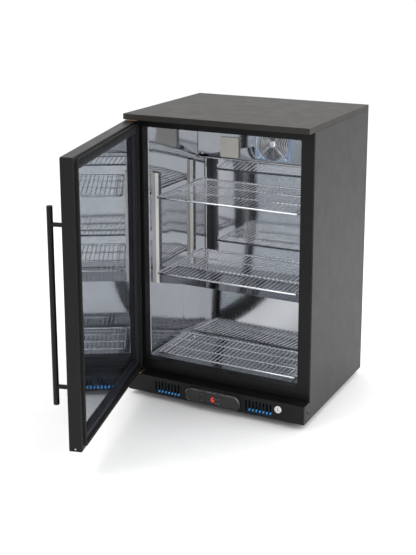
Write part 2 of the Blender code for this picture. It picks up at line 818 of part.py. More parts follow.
def hinges(root):
    """Two screwed brackets, each with its pin, and the brass bush under the door."""
    plate_x = (-HALF + 0.0045, -0.2555)
    plate_y = (-0.0400, -0.0010)
    thick = 0.0022
    low, high = KICK_TOP + GAP, WORKTOP_Z - GAP
    levels = {"bottom": (low, low, 0.0935), "top": (high - thick, 0.8640, high)}
    for name, (plate_low, pin_low, pin_high) in levels.items():
        mesh = bmesh.new()
        prism(mesh, rounded(plate_x, plate_y, 0.003, 2), "Z", plate_low, plate_low + thick)
        bracket = finish(f"hinge_bracket_{name}", mesh, galvanised(), root)
        pin = bmesh.new()
        prism(pin, circle((HINGE_X, HINGE_Y), PIN_RADIUS, 16), "Z", pin_low, pin_high)
        boolean(bracket, pin, "UNION")
    low += thick + GAP
    bore = PIN_RADIUS + GAP
    mesh = bmesh.new()
    turned_ring(mesh, [
        (bore, low), (0.0080, low), (0.0080, low + 0.0008), (bore, low + 0.0008),
    ], (HINGE_X, HINGE_Y), "Z", 20)
    finish("hinge_bush", mesh, brass(), root, (HINGE_X, HINGE_Y, low), smooth=True)


def door(root):
    hinge = pivot("door_hinge", (HINGE_X, HINGE_Y, 0.0), root)
    door_frame(hinge)
    door_glazing(hinge)
    door_gasket(hinge)
    handle(hinge)
    hinge.rotation_euler = Euler((0.0, 0.0, -DOOR_OPEN))


# ---------------------------------------------------------------- shelving

def shelf(root, name, z, back):
    """A chromed grid that slides forward: a bar all round, one across, and slats between."""
    slide = pivot(f"{name}_slide", (0.0, SHELF_FRONT, z), root)
    inner = SHELF_HALF - BAR
    pitch = (2 * inner + BAR * 0.6) / SLAT_COUNT
    columns = [-SHELF_HALF, -inner]
    for i in range(1, SLAT_COUNT):
        left = -inner + i * pitch - BAR * 0.6
        columns += [left, left + BAR * 0.6]
    columns += [inner, SHELF_HALF]
    middle = (SHELF_FRONT + back) / 2
    rows = [SHELF_FRONT, SHELF_FRONT + BAR, middle - BAR / 2, middle + BAR / 2, back - BAR, back]
    mesh = bmesh.new()
    cells(mesh, (columns, rows), (z - BAR / 2, z + BAR / 2),
          lambda i, j: i % 2 == 0 or j % 2 == 0, lambda a, b, h: (a, b, h))
    return finish(name, mesh, chrome(), slide, (0.0, SHELF_FRONT, z))


def shelves(root):
    for name, z in SHELF_HEIGHTS.items():
        shelf(root, f"shelf_{name}", z, SHELF_BACK)
    rack = shelf(root, "bottom_rack", RACK_Z, RACK_BACK)
    skids = bmesh.new()
    for x in (-0.20, 0.20):
        box(skids, (x - 0.0031, x + 0.0029), (SHELF_FRONT + 0.012, RACK_BACK - 0.012),
            (OPENING_LOW + 0.0004, RACK_Z))
    boolean(rack, skids, "UNION")


def uprights(root):
    """Four channels with a row of holes, which carry the shelves' clips."""
    count = int((UPRIGHT_HIGH - UPRIGHT_LOW) / HOLE_PITCH)
    first = (UPRIGHT_LOW + UPRIGHT_HIGH - (count - 1) * HOLE_PITCH) / 2
    for side_name, side in (("left", -1), ("right", 1)):
        for row_name, y in UPRIGHT_Y.items():
            wall = OPENING_HALF - GAP
            web = wall - UPRIGHT_DEEP
            far = y + UPRIGHT_LONG
            outline = [
                (wall, y), (web, y), (web, far), (wall, far),
                (wall, far - SHEET), (web + SHEET, far - SHEET),
                (web + SHEET, y + SHEET), (wall, y + SHEET),
            ]
            mesh = bmesh.new()
            prism(mesh, [(side * a, b) for a, b in outline], "Z", UPRIGHT_LOW, UPRIGHT_HIGH)
            name = f"shelf_upright_{row_name}_{side_name}"
            upright = finish(name, mesh, white_paint(), root)
            holes = bmesh.new()
            middle = y + UPRIGHT_LONG / 2
            for i in range(count):
                z = first + i * HOLE_PITCH
                box(holes, (side * web - 0.004, side * web + 0.004),
                    (middle - HOLE_HALF, middle + HOLE_HALF), (z - HOLE_HALF, z + HOLE_HALF))
            boolean(upright, holes)


# ---------------------------------------------------------------- evaporator

def evaporator_cover(root):
    """A polished panel across the top rear, with the fan opening and a lower return."""
    half = OPENING_HALF - 0.001
    top = OPENING_HIGH - 0.0005
    outline = [
        (COVER_Y - 0.004, COVER_LOW), (LINER_BACK - 0.001, COVER_LOW),
        (LINER_BACK - 0.001, COVER_LOW + SHEET), (COVER_Y + SHEET, COVER_LOW + SHEET),
        (COVER_Y + SHEET, top), (COVER_Y, top), (COVER_Y, COVER_LOW + 0.005),
        (COVER_Y - 0.004, COVER_LOW + 0.005),
    ]
    mesh = bmesh.new()
    prism(mesh, outline, "X", -half, half)
    cover = finish("evaporator_cover", mesh, polished(), root)
    openings = bmesh.new()
    prism(openings, circle((FAN_X, FAN_Z), FAN_HOLE, 28), "Y", COVER_Y - 0.001, COVER_Y + 0.005)
    for i in range(12):
        x = -0.242 + i * 0.0405
        box(openings, (x, x + 0.036), (0.370, 0.380), (COVER_LOW - 0.005, COVER_LOW + 0.005))
        box(openings, (x, x + 0.036), (0.388, 0.398), (COVER_LOW - 0.005, COVER_LOW + 0.005))
    boolean(cover, openings)


def evaporator_coil(root):
    """A finned block behind the cover."""
    left, right = -0.225, 0.225
    front, root_line, back = 0.3920, 0.4040, 0.4110
    fins = 26
    pitch = (right - left) / (fins - 0.5)
    outline = [(left, back), (left, front)]
    for i in range(fins):
        x = left + i * pitch
        if i:
            outline += [(x, root_line), (x, front)]
        if i < fins - 1:
            outline += [(x + pitch / 2, front), (x + pitch / 2, root_line)]
    outline += [(right, front), (right, back)]
    mesh = bmesh.new()
    prism(mesh, outline, "Z", 0.706, 0.850)
    aluminium = material("fin_aluminium", (0.62, 0.64, 0.66), 0.35, 1.0)
    finish("evaporator_coil", mesh, aluminium, root)


def fan_guard(root):
    """Concentric rings on four spokes, with an eye at each end of the spokes."""
    spokes, arcs = 4, 6
    per_spoke = arcs + 1
    quarter = 2 * math.pi / spokes
    spoke_turn = math.radians(5)
    arc_turn = (quarter - spoke_turn) / arcs
    angles = []
    for k in range(spokes):
        start = (k + 0.5) * quarter - spoke_turn / 2
        angles.append(start)
        angles += [start + spoke_turn + i * arc_turn for i in range(arcs)]
    radii = [0.004, 0.013]
    for middle in (0.0230, 0.0335, 0.0440):
        radii += [middle - 0.0012, middle + 0.0012]
    radii += [GUARD_RADIUS - 0.003, GUARD_RADIUS]
    thick = 0.0026
    mesh = bmesh.new()
    cells(mesh, (radii, angles), (GUARD_Y, GUARD_Y + thick),
          lambda i, j: i % 2 == 0 or j % per_spoke == 0,
          lambda a, b, h: (FAN_X + a * math.cos(b), h, FAN_Z + a * math.sin(b)), loops=True)
    centre = (FAN_X, GUARD_Y, FAN_Z)
    guard = finish("fan_guard", mesh, chrome(), root, centre)
    reach = GUARD_RADIUS + 0.0125
    for k in range(spokes):
        angle = (k + 0.5) * quarter
        arm = bmesh.new()
        box(arm, (GUARD_RADIUS - 0.0025, reach - 0.002), (0.0003, thick - 0.0003),
            (-0.0016, 0.0016))
        turn = Matrix.Translation(centre) @ Matrix.Rotation(-angle, 4, "Y")
        bmesh.ops.transform(arm, matrix=turn, verts=arm.verts[:])
        boolean(guard, arm, "UNION")
        eye = bmesh.new()
        middle = (FAN_X + reach * math.cos(angle), FAN_Z + reach * math.sin(angle))
        prism(eye, circle(middle, 0.0042, 10), "Y", GUARD_Y, GUARD_Y + thick)
        boolean(guard, eye, "UNION")


def impeller(name, centre, hub, reach, deep, blades, pitch, parent):
    """An axial fan wheel: a hub with pitched blades."""
    x, y, z = centre
    mesh = bmesh.new()
    turned_solid(mesh, [
        (hub - 0.002, y), (hub, y + 0.002), (hub, y + deep), (hub - 0.004, y + deep),
    ], (x, z), "Y", 20)
    wheel = finish(name, mesh, black_plastic(), parent, centre, smooth=True)
    for k in range(blades):
        blade = bmesh.new()
        half_chord = deep * 0.5 / math.sin(pitch)
        root_chord = min(half_chord * 0.75, hub * 0.8)
        outline = [
            (hub - 0.003, -root_chord), (reach * 0.7, -half_chord), (reach, -half_chord * 0.8),
            (reach, half_chord), (hub - 0.003, root_chord),
        ]
        prism(blade, outline, "Y", -0.001, 0.001)
        tilt = Matrix.Rotation(pitch, 4, "X")
        spin = Matrix.Rotation(-2 * math.pi * k / blades, 4, "Y")
        move = Matrix.Translation((x, y + deep / 2, z))
        bmesh.ops.transform(blade, matrix=move @ spin @ tilt, verts=blade.verts[:])
        boolean(wheel, blade, "UNION")


def evaporator_fan(root):
    """The fan behind the guard: its square mounting plate, motor and wheel."""
    mesh = bmesh.new()
    x = (FAN_X - PLATE_HALF, FAN_X + PLATE_HALF)
    z = (FAN_Z - PLATE_BELOW, FAN_Z + PLATE_HALF)
    prism(mesh, rounded(x, z, 0.006, 3), "Y", COVER_Y - 0.0033, COVER_Y - GAP)
    blue_white = material("fan_plate", (0.50, 0.60, 0.72), 0.35, 0.4)
    plate = finish("evaporator_fan_plate", mesh, blue_white, root)
    hole = bmesh.new()
    prism(hole, circle((FAN_X, FAN_Z), PLATE_HOLE, 28), "Y", COVER_Y - 0.01, COVER_Y + 0.01)
    boolean(plate, hole)
    hub_y = GUARD_Y + 0.0026 + GAP
    mesh = bmesh.new()
    turned_solid(mesh, [
        (0.0165, hub_y), (0.0180, hub_y + 0.0015), (0.0180, hub_y + 0.0150),
        (0.0030, hub_y + 0.0150), (0.0030, hub_y + 0.0165),
    ], (FAN_X, FAN_Z), "Y", 20)
    centre = (FAN_X, hub_y, FAN_Z)
    finish("evaporator_fan_motor", mesh, black_plastic(), root, centre, smooth=True)
    centre = (FAN_X, 0.3672, FAN_Z)
    axis = pivot("evaporator_fan_axis", centre, root)
    impeller("evaporator_fan_blades", centre, 0.019, 0.051, 0.018, 5, math.radians(35), axis)


def cold_room_fittings(root):
    """The sensor's cover and the lamp under the ceiling."""
    mesh = bmesh.new()
    prism(mesh, rounded(SENSOR_X, SENSOR_Z, 0.004, 2), "Y", COVER_Y - 0.006, COVER_Y - GAP)
    finish("sensor_cover", mesh, cream_plastic(), root)
    mesh = bmesh.new()
    front, back = LAMP_Y
    top = OPENING_HIGH - 0.0005
    low = top - LAMP_THICK
    slope = 0.004
    outline = [(front, top), (front, low + 0.001), (front + slope, low), (back - slope, low),
               (back, low + 0.001), (back, top)]
    prism(mesh, outline, "X", -LAMP_HALF, LAMP_HALF)
    finish("led_housing", mesh, black_plastic(), root)
    mesh = bmesh.new()
    high = low - GAP
    low = high - LENS_THICK
    front, back = front + 0.006, back - 0.006
    outline = [(front, high), (front + LENS_THICK, low), (back - LENS_THICK, low), (back, high)]
    prism(mesh, outline, "X", -LAMP_HALF + slope, LAMP_HALF - slope)
    lamp = material("led_diffuser", (0.90, 0.94, 1.0), 0.40)
    finish("led_diffuser", mesh, lamp, root)


# ---------------------------------------------------------------- condensing unit

def compressor(root):
    """The welded steel pot, open below, and the plate with grommets that it stands on."""
    centre = (COMPRESSOR_X, COMPRESSOR_Y)
    r = COMPRESSOR_RADIUS
    low, wall = 0.0300, 0.006
    outside = [
        (r + 0.003, low), (r + 0.003, low + 0.006), (r, low + 0.008), (r, 0.100),
        (r + 0.003, 0.103), (r + 0.003, 0.109), (r, 0.112), (r, 0.160), (r * 0.93, 0.180),
        (r * 0.74, 0.194), (r * 0.40, 0.202), (0.0035, 0.204),
    ]
    inside = [
        (0.004, 0.204 - wall), (r * 0.40 - 0.002, 0.202 - wall), (r * 0.74 - 0.004, 0.194 - wall),
        (r - wall - 0.003, 0.172), (r - wall, 0.155), (r - wall, low),
    ]
    mesh = bmesh.new()
    turned_ring(mesh, outside + inside, centre, "Z", 20)
    pot = material("compressor_black", (0.020, 0.020, 0.020), 0.38)
    finish("compressor", mesh, pot, root, (*centre, low), smooth=True)
    mesh = bmesh.new()
    x = (COMPRESSOR_X - 0.085, COMPRESSOR_X + 0.085)
    y = (COMPRESSOR_Y - 0.072, COMPRESSOR_Y + 0.072)
    prism(mesh, rounded(x, y, 0.012, 3), "Z", 0.0206, 0.0296)
    plate = finish("compressor_mount", mesh, soft_black(), root)
    holes = bmesh.new()
    for sx in (-1, 1):
        for sy in (-1, 1):
            spot = (COMPRESSOR_X + sx * 0.073, COMPRESSOR_Y + sy * 0.060)
            prism(holes, circle(spot, 0.005, 12), "Z", 0.010, 0.040)
    boolean(plate, holes)


def evaporation_tray(root):
    """The tray above the warm compressor that dries off the melt water."""
    x, y, z = (-0.205, -0.035), (0.295, 0.440), (0.2110, 0.2400)
    mesh = bmesh.new()
    box(mesh, x, y, z)
    grey = material("tray_plastic", (0.55, 0.57, 0.60), 0.50)
    tray = finish("evaporation_tray", mesh, grey, root)
    wall = 0.002
    well = bmesh.new()
    box(well, (x[0] + wall, x[1] - wall), (y[0] + wall, y[1] - wall), (z[0] + wall, z[1] + 0.01))
    boolean(tray, well)


def condenser(root):
    """The finned coil, its fan shroud, motor and wheel."""
    left, right = COIL_X
    low, high = COIL_Z
    fins = 20
    pitch = (high - low) / (fins - 0.5)
    front, core, back = 0.2950, 0.3110, 0.3350
    outline = [(back, low), (front, low)]
    for i in range(fins):
        z = low + i * pitch
        if i:
            outline += [(core, z), (front, z)]
        if i < fins - 1:
            outline += [(front, z + pitch / 2), (core, z + pitch / 2)]
    outline += [(front, high), (back, high)]
    mesh = bmesh.new()
    prism(mesh, outline, "X", left, right)
    copper_fins = material("condenser_fins", (0.30, 0.31, 0.32), 0.45, 0.8)
    finish("condenser_coil", mesh, copper_fins, root)

    plate_y = (back + GAP, back + GAP + SHEET)
    deep = plate_y[1] + 0.020
    mesh = bmesh.new()
    box(mesh, COIL_X, plate_y, COIL_Z)
    shroud = finish("condenser_fan_shroud", mesh, galvanised(), root)
    collar = bmesh.new()
    rim = circle((BLOWER_X, BLOWER_Z), BLOWER_HOLE + 0.002, 28)
    prism(collar, rim, "Y", plate_y[0] + 0.0004, deep)
    boolean(shroud, collar, "UNION")
    hole = bmesh.new()
    prism(hole, circle((BLOWER_X, BLOWER_Z), BLOWER_HOLE, 28), "Y", back - 0.01, deep + 0.01)
    boolean(shroud, hole)

    axis = pivot("condenser_fan_axis", (BLOWER_X, 0.3480, BLOWER_Z), root)
    centre = (BLOWER_X, 0.3480, BLOWER_Z)
    impeller("condenser_fan_blades", centre, 0.022, 0.072, 0.026, 5, math.radians(32), axis)

    mesh = bmesh.new()
    turned_solid(mesh, [
        (0.003, 0.3745), (0.003, 0.3765), (0.034, 0.3770), (0.034, 0.4180), (0.028, 0.4200),
    ], (BLOWER_X, BLOWER_Z), "Y", 20)
    centre = (BLOWER_X, 0.3745, BLOWER_Z)
    motor = finish("condenser_fan_motor", mesh, galvanised(), root, centre, smooth=True)
    leg = bmesh.new()
    box(leg, (BLOWER_X - 0.012, BLOWER_X + 0.012), (0.3900, 0.4100), (0.0206, BLOWER_Z - 0.020))
    boolean(motor, leg, "UNION")


def main():
    start_scene()
    root = empty("cabinet", ORIGIN_SHIFT)
    root["drawn_at"] = (0.0, 0.0, 0.0)
    worktop(root)
    side_panel(root, "side_panel_left", -1)
    side_panel(root, "side_panel_right", 1)
    front_frame(root)
    liner(root)
    insulation(root)
    back_sheets(root)
    base_tray(root)
    levelling_feet(root)
    kick_plate(root)
    controller(root)
    lock(root)
    hinges(root)
    door(root)
    shelves(root)
    uprights(root)
    evaporator_cover(root)
    evaporator_coil(root)
    fan_guard(root)
    evaporator_fan(root)
    cold_room_fittings(root)
    compressor(root)
    evaporation_tray(root)
    condenser(root)
    bpy.context.view_layer.update()


main()
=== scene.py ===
"""The looks of a one-door back-bar refrigerator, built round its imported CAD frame.

Sizes and places come from the frame's own boxes. The door's pieces are drawn shut, in the
cabinet's directions, and are then turned to where the frame holds the door at rest.
"""

import json
import math

import bmesh
import bpy
from mathutils import Matrix, Vector

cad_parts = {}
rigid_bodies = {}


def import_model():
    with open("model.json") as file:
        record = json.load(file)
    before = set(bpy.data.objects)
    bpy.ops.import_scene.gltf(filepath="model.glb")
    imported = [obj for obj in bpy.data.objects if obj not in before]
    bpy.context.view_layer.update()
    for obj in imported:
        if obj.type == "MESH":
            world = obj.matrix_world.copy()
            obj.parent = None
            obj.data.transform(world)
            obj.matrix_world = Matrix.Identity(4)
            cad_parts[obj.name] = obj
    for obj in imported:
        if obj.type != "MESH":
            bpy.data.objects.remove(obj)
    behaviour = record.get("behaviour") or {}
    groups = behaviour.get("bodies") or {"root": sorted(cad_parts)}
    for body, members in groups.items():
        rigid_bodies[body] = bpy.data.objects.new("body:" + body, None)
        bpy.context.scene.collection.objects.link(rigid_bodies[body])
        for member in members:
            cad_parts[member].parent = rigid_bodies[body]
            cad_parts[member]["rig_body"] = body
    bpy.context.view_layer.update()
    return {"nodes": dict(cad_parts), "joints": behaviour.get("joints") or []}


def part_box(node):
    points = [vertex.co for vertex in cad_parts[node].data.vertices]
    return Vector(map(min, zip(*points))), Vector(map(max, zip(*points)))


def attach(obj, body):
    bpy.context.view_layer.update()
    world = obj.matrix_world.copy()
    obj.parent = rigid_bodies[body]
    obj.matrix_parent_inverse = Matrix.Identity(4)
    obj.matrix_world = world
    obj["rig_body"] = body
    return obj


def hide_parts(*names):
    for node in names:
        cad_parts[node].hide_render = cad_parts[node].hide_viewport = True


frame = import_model()

NODES = frame["nodes"]
JOINTS = {joint["name"]: joint for joint in frame["joints"]}
UP = Vector((0, 0, 1))

# The camera stands to the right of the front, a little above the worktop.
CAMERA_PLACE = (1.3776, -2.6783, 1.4059)
CAMERA_YAW = math.radians(27.20)
CAMERA_PITCH = math.radians(13.16)
CAMERA_ROLL = math.radians(-0.12)
CAMERA_LENS = 69.41
CAMERA_SHIFT = -0.158


# ---------------------------------------------------------------- materials

def new_material(name, colour, roughness, metallic=0.0, **sockets):
    """A Principled material. Further sockets are named with underscores for spaces."""
    made = bpy.data.materials.new(name)
    made.use_nodes = True
    shader = made.node_tree.nodes["Principled BSDF"]
    shader.inputs["Base Color"].default_value = (*colour, 1.0)
    shader.inputs["Roughness"].default_value = roughness
    shader.inputs["Metallic"].default_value = metallic
    for socket, value in sockets.items():
        shader.inputs[socket.replace("_", " ")].default_value = value
    return made


def add_node(made, kind, **values):
    """A node with its inputs set, named as for new_material."""
    node = made.node_tree.nodes.new(kind)
    for socket, value in values.items():
        node.inputs[socket.replace("_", " ")].default_value = value
    return node


def join(made, output, target):
    made.node_tree.links.new(output, target)


def feed(made, output, socket):
    """Links an output to a socket of the material's shader."""
    join(made, output, made.node_tree.nodes["Principled BSDF"].inputs[socket])


def spot(made, stretch):
    """The place on the object, drawn out along each axis by a stretch."""
    coordinates = add_node(made, "ShaderNodeTexCoord")
    mapping = add_node(made, "ShaderNodeMapping", Scale=stretch)
    join(made, coordinates.outputs["Object"], mapping.inputs["Vector"])
    return mapping.outputs["Vector"]


def noise(made, scale, detail, stretch=(1, 1, 1)):
    """A noise with about so many features to the metre."""
    texture = add_node(made, "ShaderNodeTexNoise", Scale=scale, Detail=detail)
    join(made, spot(made, stretch), texture.inputs["Vector"])
    return texture.outputs["Fac"]


def crystals(made, scale):
    """Flat cells of random value, as on zinc-coated steel."""
    texture = add_node(made, "ShaderNodeTexVoronoi", Scale=scale)
    join(made, spot(made, (1, 1, 1)), texture.inputs["Vector"])
    split = add_node(made, "ShaderNodeSeparateColor")
    join(made, texture.outputs["Color"], split.inputs["Color"])
    return split.outputs["Red"]


def spread(made, factor, low, high, start=0.3, stop=0.7):
    """Maps a factor from start..stop to low..high."""
    ranged = add_node(made, "ShaderNodeMapRange")
    ends = {"From Min": start, "From Max": stop, "To Min": low, "To Max": high}
    for socket, value in ends.items():
        ranged.inputs[socket].default_value = value
    join(made, factor, ranged.inputs["Value"])
    return ranged.outputs["Result"]


def tint(made, factor, first, second, start=0.3, stop=0.7):
    """Colours a factor from a first colour to a second."""
    ramp = add_node(made, "ShaderNodeValToRGB")
    ramp.color_ramp.elements[0].position = start
    ramp.color_ramp.elements[0].color = (*first, 1.0)
    ramp.color_ramp.elements[1].position = stop
    ramp.color_ramp.elements[1].color = (*second, 1.0)
    join(made, factor, ramp.inputs["Fac"])
    return ramp.outputs["Color"]


def relief(made, *layers):
    """Bumps from layers of (factor, height in metres, strength), finest last."""
    normal = None
    for factor, height, strength in layers:
        bump = add_node(made, "ShaderNodeBump", Distance=height, Strength=strength)
        join(made, factor, bump.inputs["Height"])
        if normal:
            join(made, normal, bump.inputs["Normal"])
        normal = bump.outputs["Normal"]
    feed(made, normal, "Normal")


def scaled(colour, share):
    """A colour made darker or lighter."""
    return tuple(channel * share for channel in colour)


def coated(name, colour, roughness, grain=900, uneven=0.06, **sockets):
    """Paint or plastic: slightly uneven in tone and gloss, with a fine moulded or sprayed skin."""
    made = new_material(name, colour, roughness, **sockets)
    cloud = noise(made, 6.5, 4.0)
    deep, pale = scaled(colour, 1 - uneven), scaled(colour, 1 + uneven)
    feed(made, tint(made, cloud, deep, pale), "Base Color")
    haze = noise(made, 21, 5.0)
    feed(made, spread(made, haze, roughness * 0.94, roughness * 1.07), "Roughness")
    ripple = noise(made, 5.0, 1.0)
    skin_grain = noise(made, grain, 1.0)
    relief(made, (ripple, 0.0003, 0.06), (skin_grain, 0.00008, 0.16))
    return made


def rolled(name, colour, roughness):
    """Sheet metal: upright rolling streaks, soft stains, and a surface that isn't quite flat."""
    made = new_material(name, colour, roughness, 1.0)
    stain = noise(made, 4.0, 3.0)
    feed(made, tint(made, stain, scaled(colour, 0.90), colour), "Base Color")
    streak = noise(made, 6.0, 4.0, (60, 60, 1.2))
    feed(made, spread(made, streak, roughness * 0.75, roughness * 1.3), "Roughness")
    wave = noise(made, 5.5, 1.5)
    relief(made, (wave, 0.0001, 0.30), (streak, 0.00001, 0.10))
    return made


def plated(name, colour, roughness):
    """Bright plating on wire and turned pieces, with faint pitting."""
    made = new_material(name, colour, roughness, 1.0)
    dull = noise(made, 55, 4.0)
    feed(made, tint(made, dull, scaled(colour, 0.86), colour), "Base Color")
    feed(made, spread(made, dull, roughness * 0.6, roughness * 1.7), "Roughness")
    pitting = noise(made, 700, 2.0)
    relief(made, (pitting, 0.00004, 0.25))
    return made


def zinc(name, colour, roughness):
    """Galvanised sheet with its spangle."""
    made = new_material(name, colour, roughness, 1.0)
    cell = crystals(made, 95)
    feed(made, tint(made, cell, scaled(colour, 0.80), colour, 0.1, 0.9), "Base Color")
    feed(made, spread(made, cell, roughness * 0.8, roughness * 1.25, 0.0, 1.0), "Roughness")
    frost = noise(made, 300, 3.0)
    relief(made, (frost, 0.00006, 0.3))
    return made


def glazing(name, colour, metallic, ior):
    """A clear pane with faint wiping marks."""
    made = new_material(name, colour, 0.0, metallic, Transmission_Weight=1.0, IOR=ior)
    wiped = noise(made, 5.0, 5.0, (1.0, 1.0, 0.35))
    feed(made, spread(made, wiped, 0.0, 0.035, 0.45, 0.75), "Roughness")
    feed(made, tint(made, wiped, colour, scaled(colour, 0.93)), "Base Color")
    return made


def glowing(name, colour, strength):
    """A lit, slightly uneven plastic."""
    made = new_material(name, colour, 0.35, Emission_Color=(*colour, 1.0),
                        Emission_Strength=strength)
    cloud = noise(made, 40, 2.0)
    feed(made, tint(made, cloud, scaled(colour, 0.85), colour), "Base Color")
    feed(made, spread(made, cloud, 0.3, 0.45), "Roughness")
    return made


def foamed(name, colour):
    """Rigid foam with open cells, its cell pits painted darker as painted shade."""
    made = new_material(name, colour, 0.9)
    texture = add_node(made, "ShaderNodeTexVoronoi", Scale=420)
    join(made, spot(made, (1, 1, 1)), texture.inputs["Vector"])
    cells = texture.outputs["Distance"]
    # Painted shade: darker where the cells dip.
    feed(made, tint(made, cells, scaled(colour, 0.7), colour, 0.0, 0.6), "Base Color")
    relief(made, (cells, 0.0008, 0.6))
    return made


def make_palette():
    """The finish of each of the frame's slots."""
    return {
        "black_paint": coated("black_paint_satin", (0.0062, 0.0062, 0.0068), 0.40,
                              Specular_IOR_Level=0.18),
        "galvanised_steel": zinc("zinc_sheet", (0.52, 0.53, 0.54), 0.38),
        "polished_liner": rolled("polished_sheet", (0.49, 0.505, 0.53), 0.07),
        "chrome": plated("bright_plating", (0.86, 0.87, 0.89), 0.13),
        "black_plastic": coated("moulded_black", (0.0110, 0.0110, 0.0122), 0.36, grain=1500,
                                Specular_IOR_Level=0.32),
        "gasket_rubber": coated("seal_rubber", (0.0055, 0.0055, 0.0058), 0.60, grain=1100,
                                Specular_IOR_Level=0.22),
        "white_upright": coated("cream_enamel", (0.90, 0.88, 0.85), 0.34, uneven=0.04),
        "blue_base": coated("blue_enamel", (0.014, 0.085, 0.21), 0.42),
        "foam": foamed("poured_foam", (0.80, 0.68, 0.38)),
        "door_glass": glazing("grey_pane", (0.07, 0.075, 0.083), 0.0, 1.52),
        "cream_plastic": coated("cream_moulding", (0.85, 0.81, 0.74), 0.42),
        "brass": plated("worn_brass", (0.72, 0.44, 0.20), 0.26),
        "display_lens": coated("smoked_lens", (0.0070, 0.0065, 0.0070), 0.13, grain=2000),
        "fan_plate": rolled("blued_plate", (0.40, 0.50, 0.66), 0.24),
        "fin_aluminium": rolled("fin_stock", (0.66, 0.68, 0.70), 0.32),
        "led_diffuser": glowing("lamp_diffuser", (0.72, 0.85, 1.0), 5.0),
        "compressor_black": coated("pot_enamel", (0.012, 0.012, 0.012), 0.30, grain=500),
        "condenser_fins": coated("fin_paint", (0.05, 0.05, 0.052), 0.45),
        "tray_plastic": coated("grey_moulding", (0.42, 0.44, 0.47), 0.45, uneven=0.08),
    }


PALETTE = make_palette()
MIRROR_PANE = glazing("coated_pane", (0.78, 0.82, 0.87), 0.35, 1.52)
FASCIA = coated("fascia_gloss", (0.0110, 0.0110, 0.0125), 0.15, grain=1800)
PRINT = coated("grey_print", (0.30, 0.30, 0.31), 0.45)
RED_GLOW = glowing("red_segment", (1.0, 0.045, 0.02), 1.5)
SATIN_BEAD = coated("blue_grey_bead", (0.012, 0.013, 0.019), 0.36, grain=1500,
                    Specular_IOR_Level=0.2)
# The worktop's and the sides' blacks are lighter copies of the one black paint, with a warm-tinted
# sheen: painted light on the top and on the sides. The slot's black_paint is the darker copy.
WORKTOP_LIT_COPY = coated("worktop_satin_painted_light", (0.0118, 0.0110, 0.0100), 0.48,
                       Specular_IOR_Level=0.36, Specular_Tint=(1.0, 0.95, 0.89, 1.0))
SIDE_LIT_COPY = coated("side_satin_painted_light", (0.0107, 0.0101, 0.0101), 0.41,
                    Specular_IOR_Level=0.33, Specular_Tint=(1.0, 0.965, 0.96, 1.0))
YELLOW_ZINC = plated("yellow_zinc", (0.60, 0.37, 0.20), 0.26)
# A lighter plated grey for the fascia's top ridge: a painted highlight line.
RIDGE_PAINTED_HIGHLIGHT = plated("fascia_ridge_painted_highlight", (0.26, 0.26, 0.27), 0.22)
# Painted shade on the uprights: the web is painted grey for the dark room it reflects, and the
# hollow inside is painted dark.
WEB_PAINTED_SHADE = coated("upright_web_painted_shade", (0.150, 0.148, 0.165), 0.38)
HOLLOW_PAINTED_SHADE = coated("upright_hollow_painted_shade", (0.012, 0.012, 0.013), 0.60)
# Painted shade for the base pan's walls, flanges and underside.
PAN_PAINTED_SHADE = coated("tray_pan_painted_shade", (0.020, 0.020, 0.021), 0.55)


# ---------------------------------------------------------------- making pieces

SHARP_DEGREES = 35          # faces that meet at less than this are shaded as one
BEVEL_DEGREES = 38          # edges that turn by more than this are rounded
WELD_DISTANCE = 1e-6
FLAT_DEGREES = 1            # CAD triangles that meet at less than this become one face
FACING = 0.5                # a face looks along an axis when its normal has more than this of it


def add_piece(name, mesh, slot, body, material=None, replaces=(), sharp=SHARP_DEGREES):
    """Turns a bmesh into a named piece that rides on a body and takes a slot's finish."""
    bmesh.ops.recalc_face_normals(mesh, faces=mesh.faces[:])
    data = bpy.data.meshes.new(name)
    mesh.to_mesh(data)
    mesh.free()
    data.shade_smooth()
    data.set_sharp_from_angle(angle=math.radians(sharp))
    data.materials.append(material or PALETTE[slot])
    piece = bpy.data.objects.new(name, data)
    bpy.context.scene.collection.objects.link(piece)
    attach(piece, body)
    if replaces:
        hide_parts(*replaces)
    return piece


def soften(piece, width, segments=2):
    """Rounds a piece's sharp edges, as folding, casting or moulding leaves them."""
    edges = piece.modifiers.new("edges", "BEVEL")
    edges.width = width
    edges.segments = segments
    edges.limit_method = "ANGLE"
    edges.angle_limit = math.radians(BEVEL_DEGREES)
    edges.harden_normals = True
    return piece


def cad_mesh(node):
    """A clean copy of a CAD node's mesh, with its flat faces whole again."""
    mesh = bmesh.new()
    mesh.from_mesh(NODES[node].data)
    bmesh.ops.remove_doubles(mesh, verts=mesh.verts[:], dist=WELD_DISTANCE)
    flat = math.radians(FLAT_DEGREES)
    bmesh.ops.dissolve_limit(mesh, angle_limit=flat, verts=mesh.verts[:], edges=mesh.edges[:])
    return mesh


def softened(node, name, slot, width, material=None, segments=2):
    """A finer piece of the same shape as a CAD node, with rounded edges."""
    body = NODES[node]["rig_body"]
    piece = add_piece(name, cad_mesh(node), slot, body, material, [node])
    return soften(piece, width, segments)


def repaint(node, material):
    """Gives a CAD node that is shown as it is its finish."""
    data = NODES[node].data
    data.materials.clear()
    data.materials.append(material)


def cut(piece, tool_mesh):
    """Cuts a shape out of a piece and keeps the result as its mesh."""
    bmesh.ops.recalc_face_normals(tool_mesh, faces=tool_mesh.faces[:])
    data = bpy.data.meshes.new("cutter")
    tool_mesh.to_mesh(data)
    tool_mesh.free()
    tool = bpy.data.objects.new("cutter", data)
    bpy.context.scene.collection.objects.link(tool)
    step = piece.modifiers.new("cut", "BOOLEAN")
    step.operation = "DIFFERENCE"
    step.object = tool
    bpy.context.view_layer.update()
    shown = piece.evaluated_get(bpy.context.evaluated_depsgraph_get())
    shaped = bpy.data.meshes.new_from_object(shown)
    piece.modifiers.remove(step)
    piece.data = shaped
    bpy.data.objects.remove(tool)


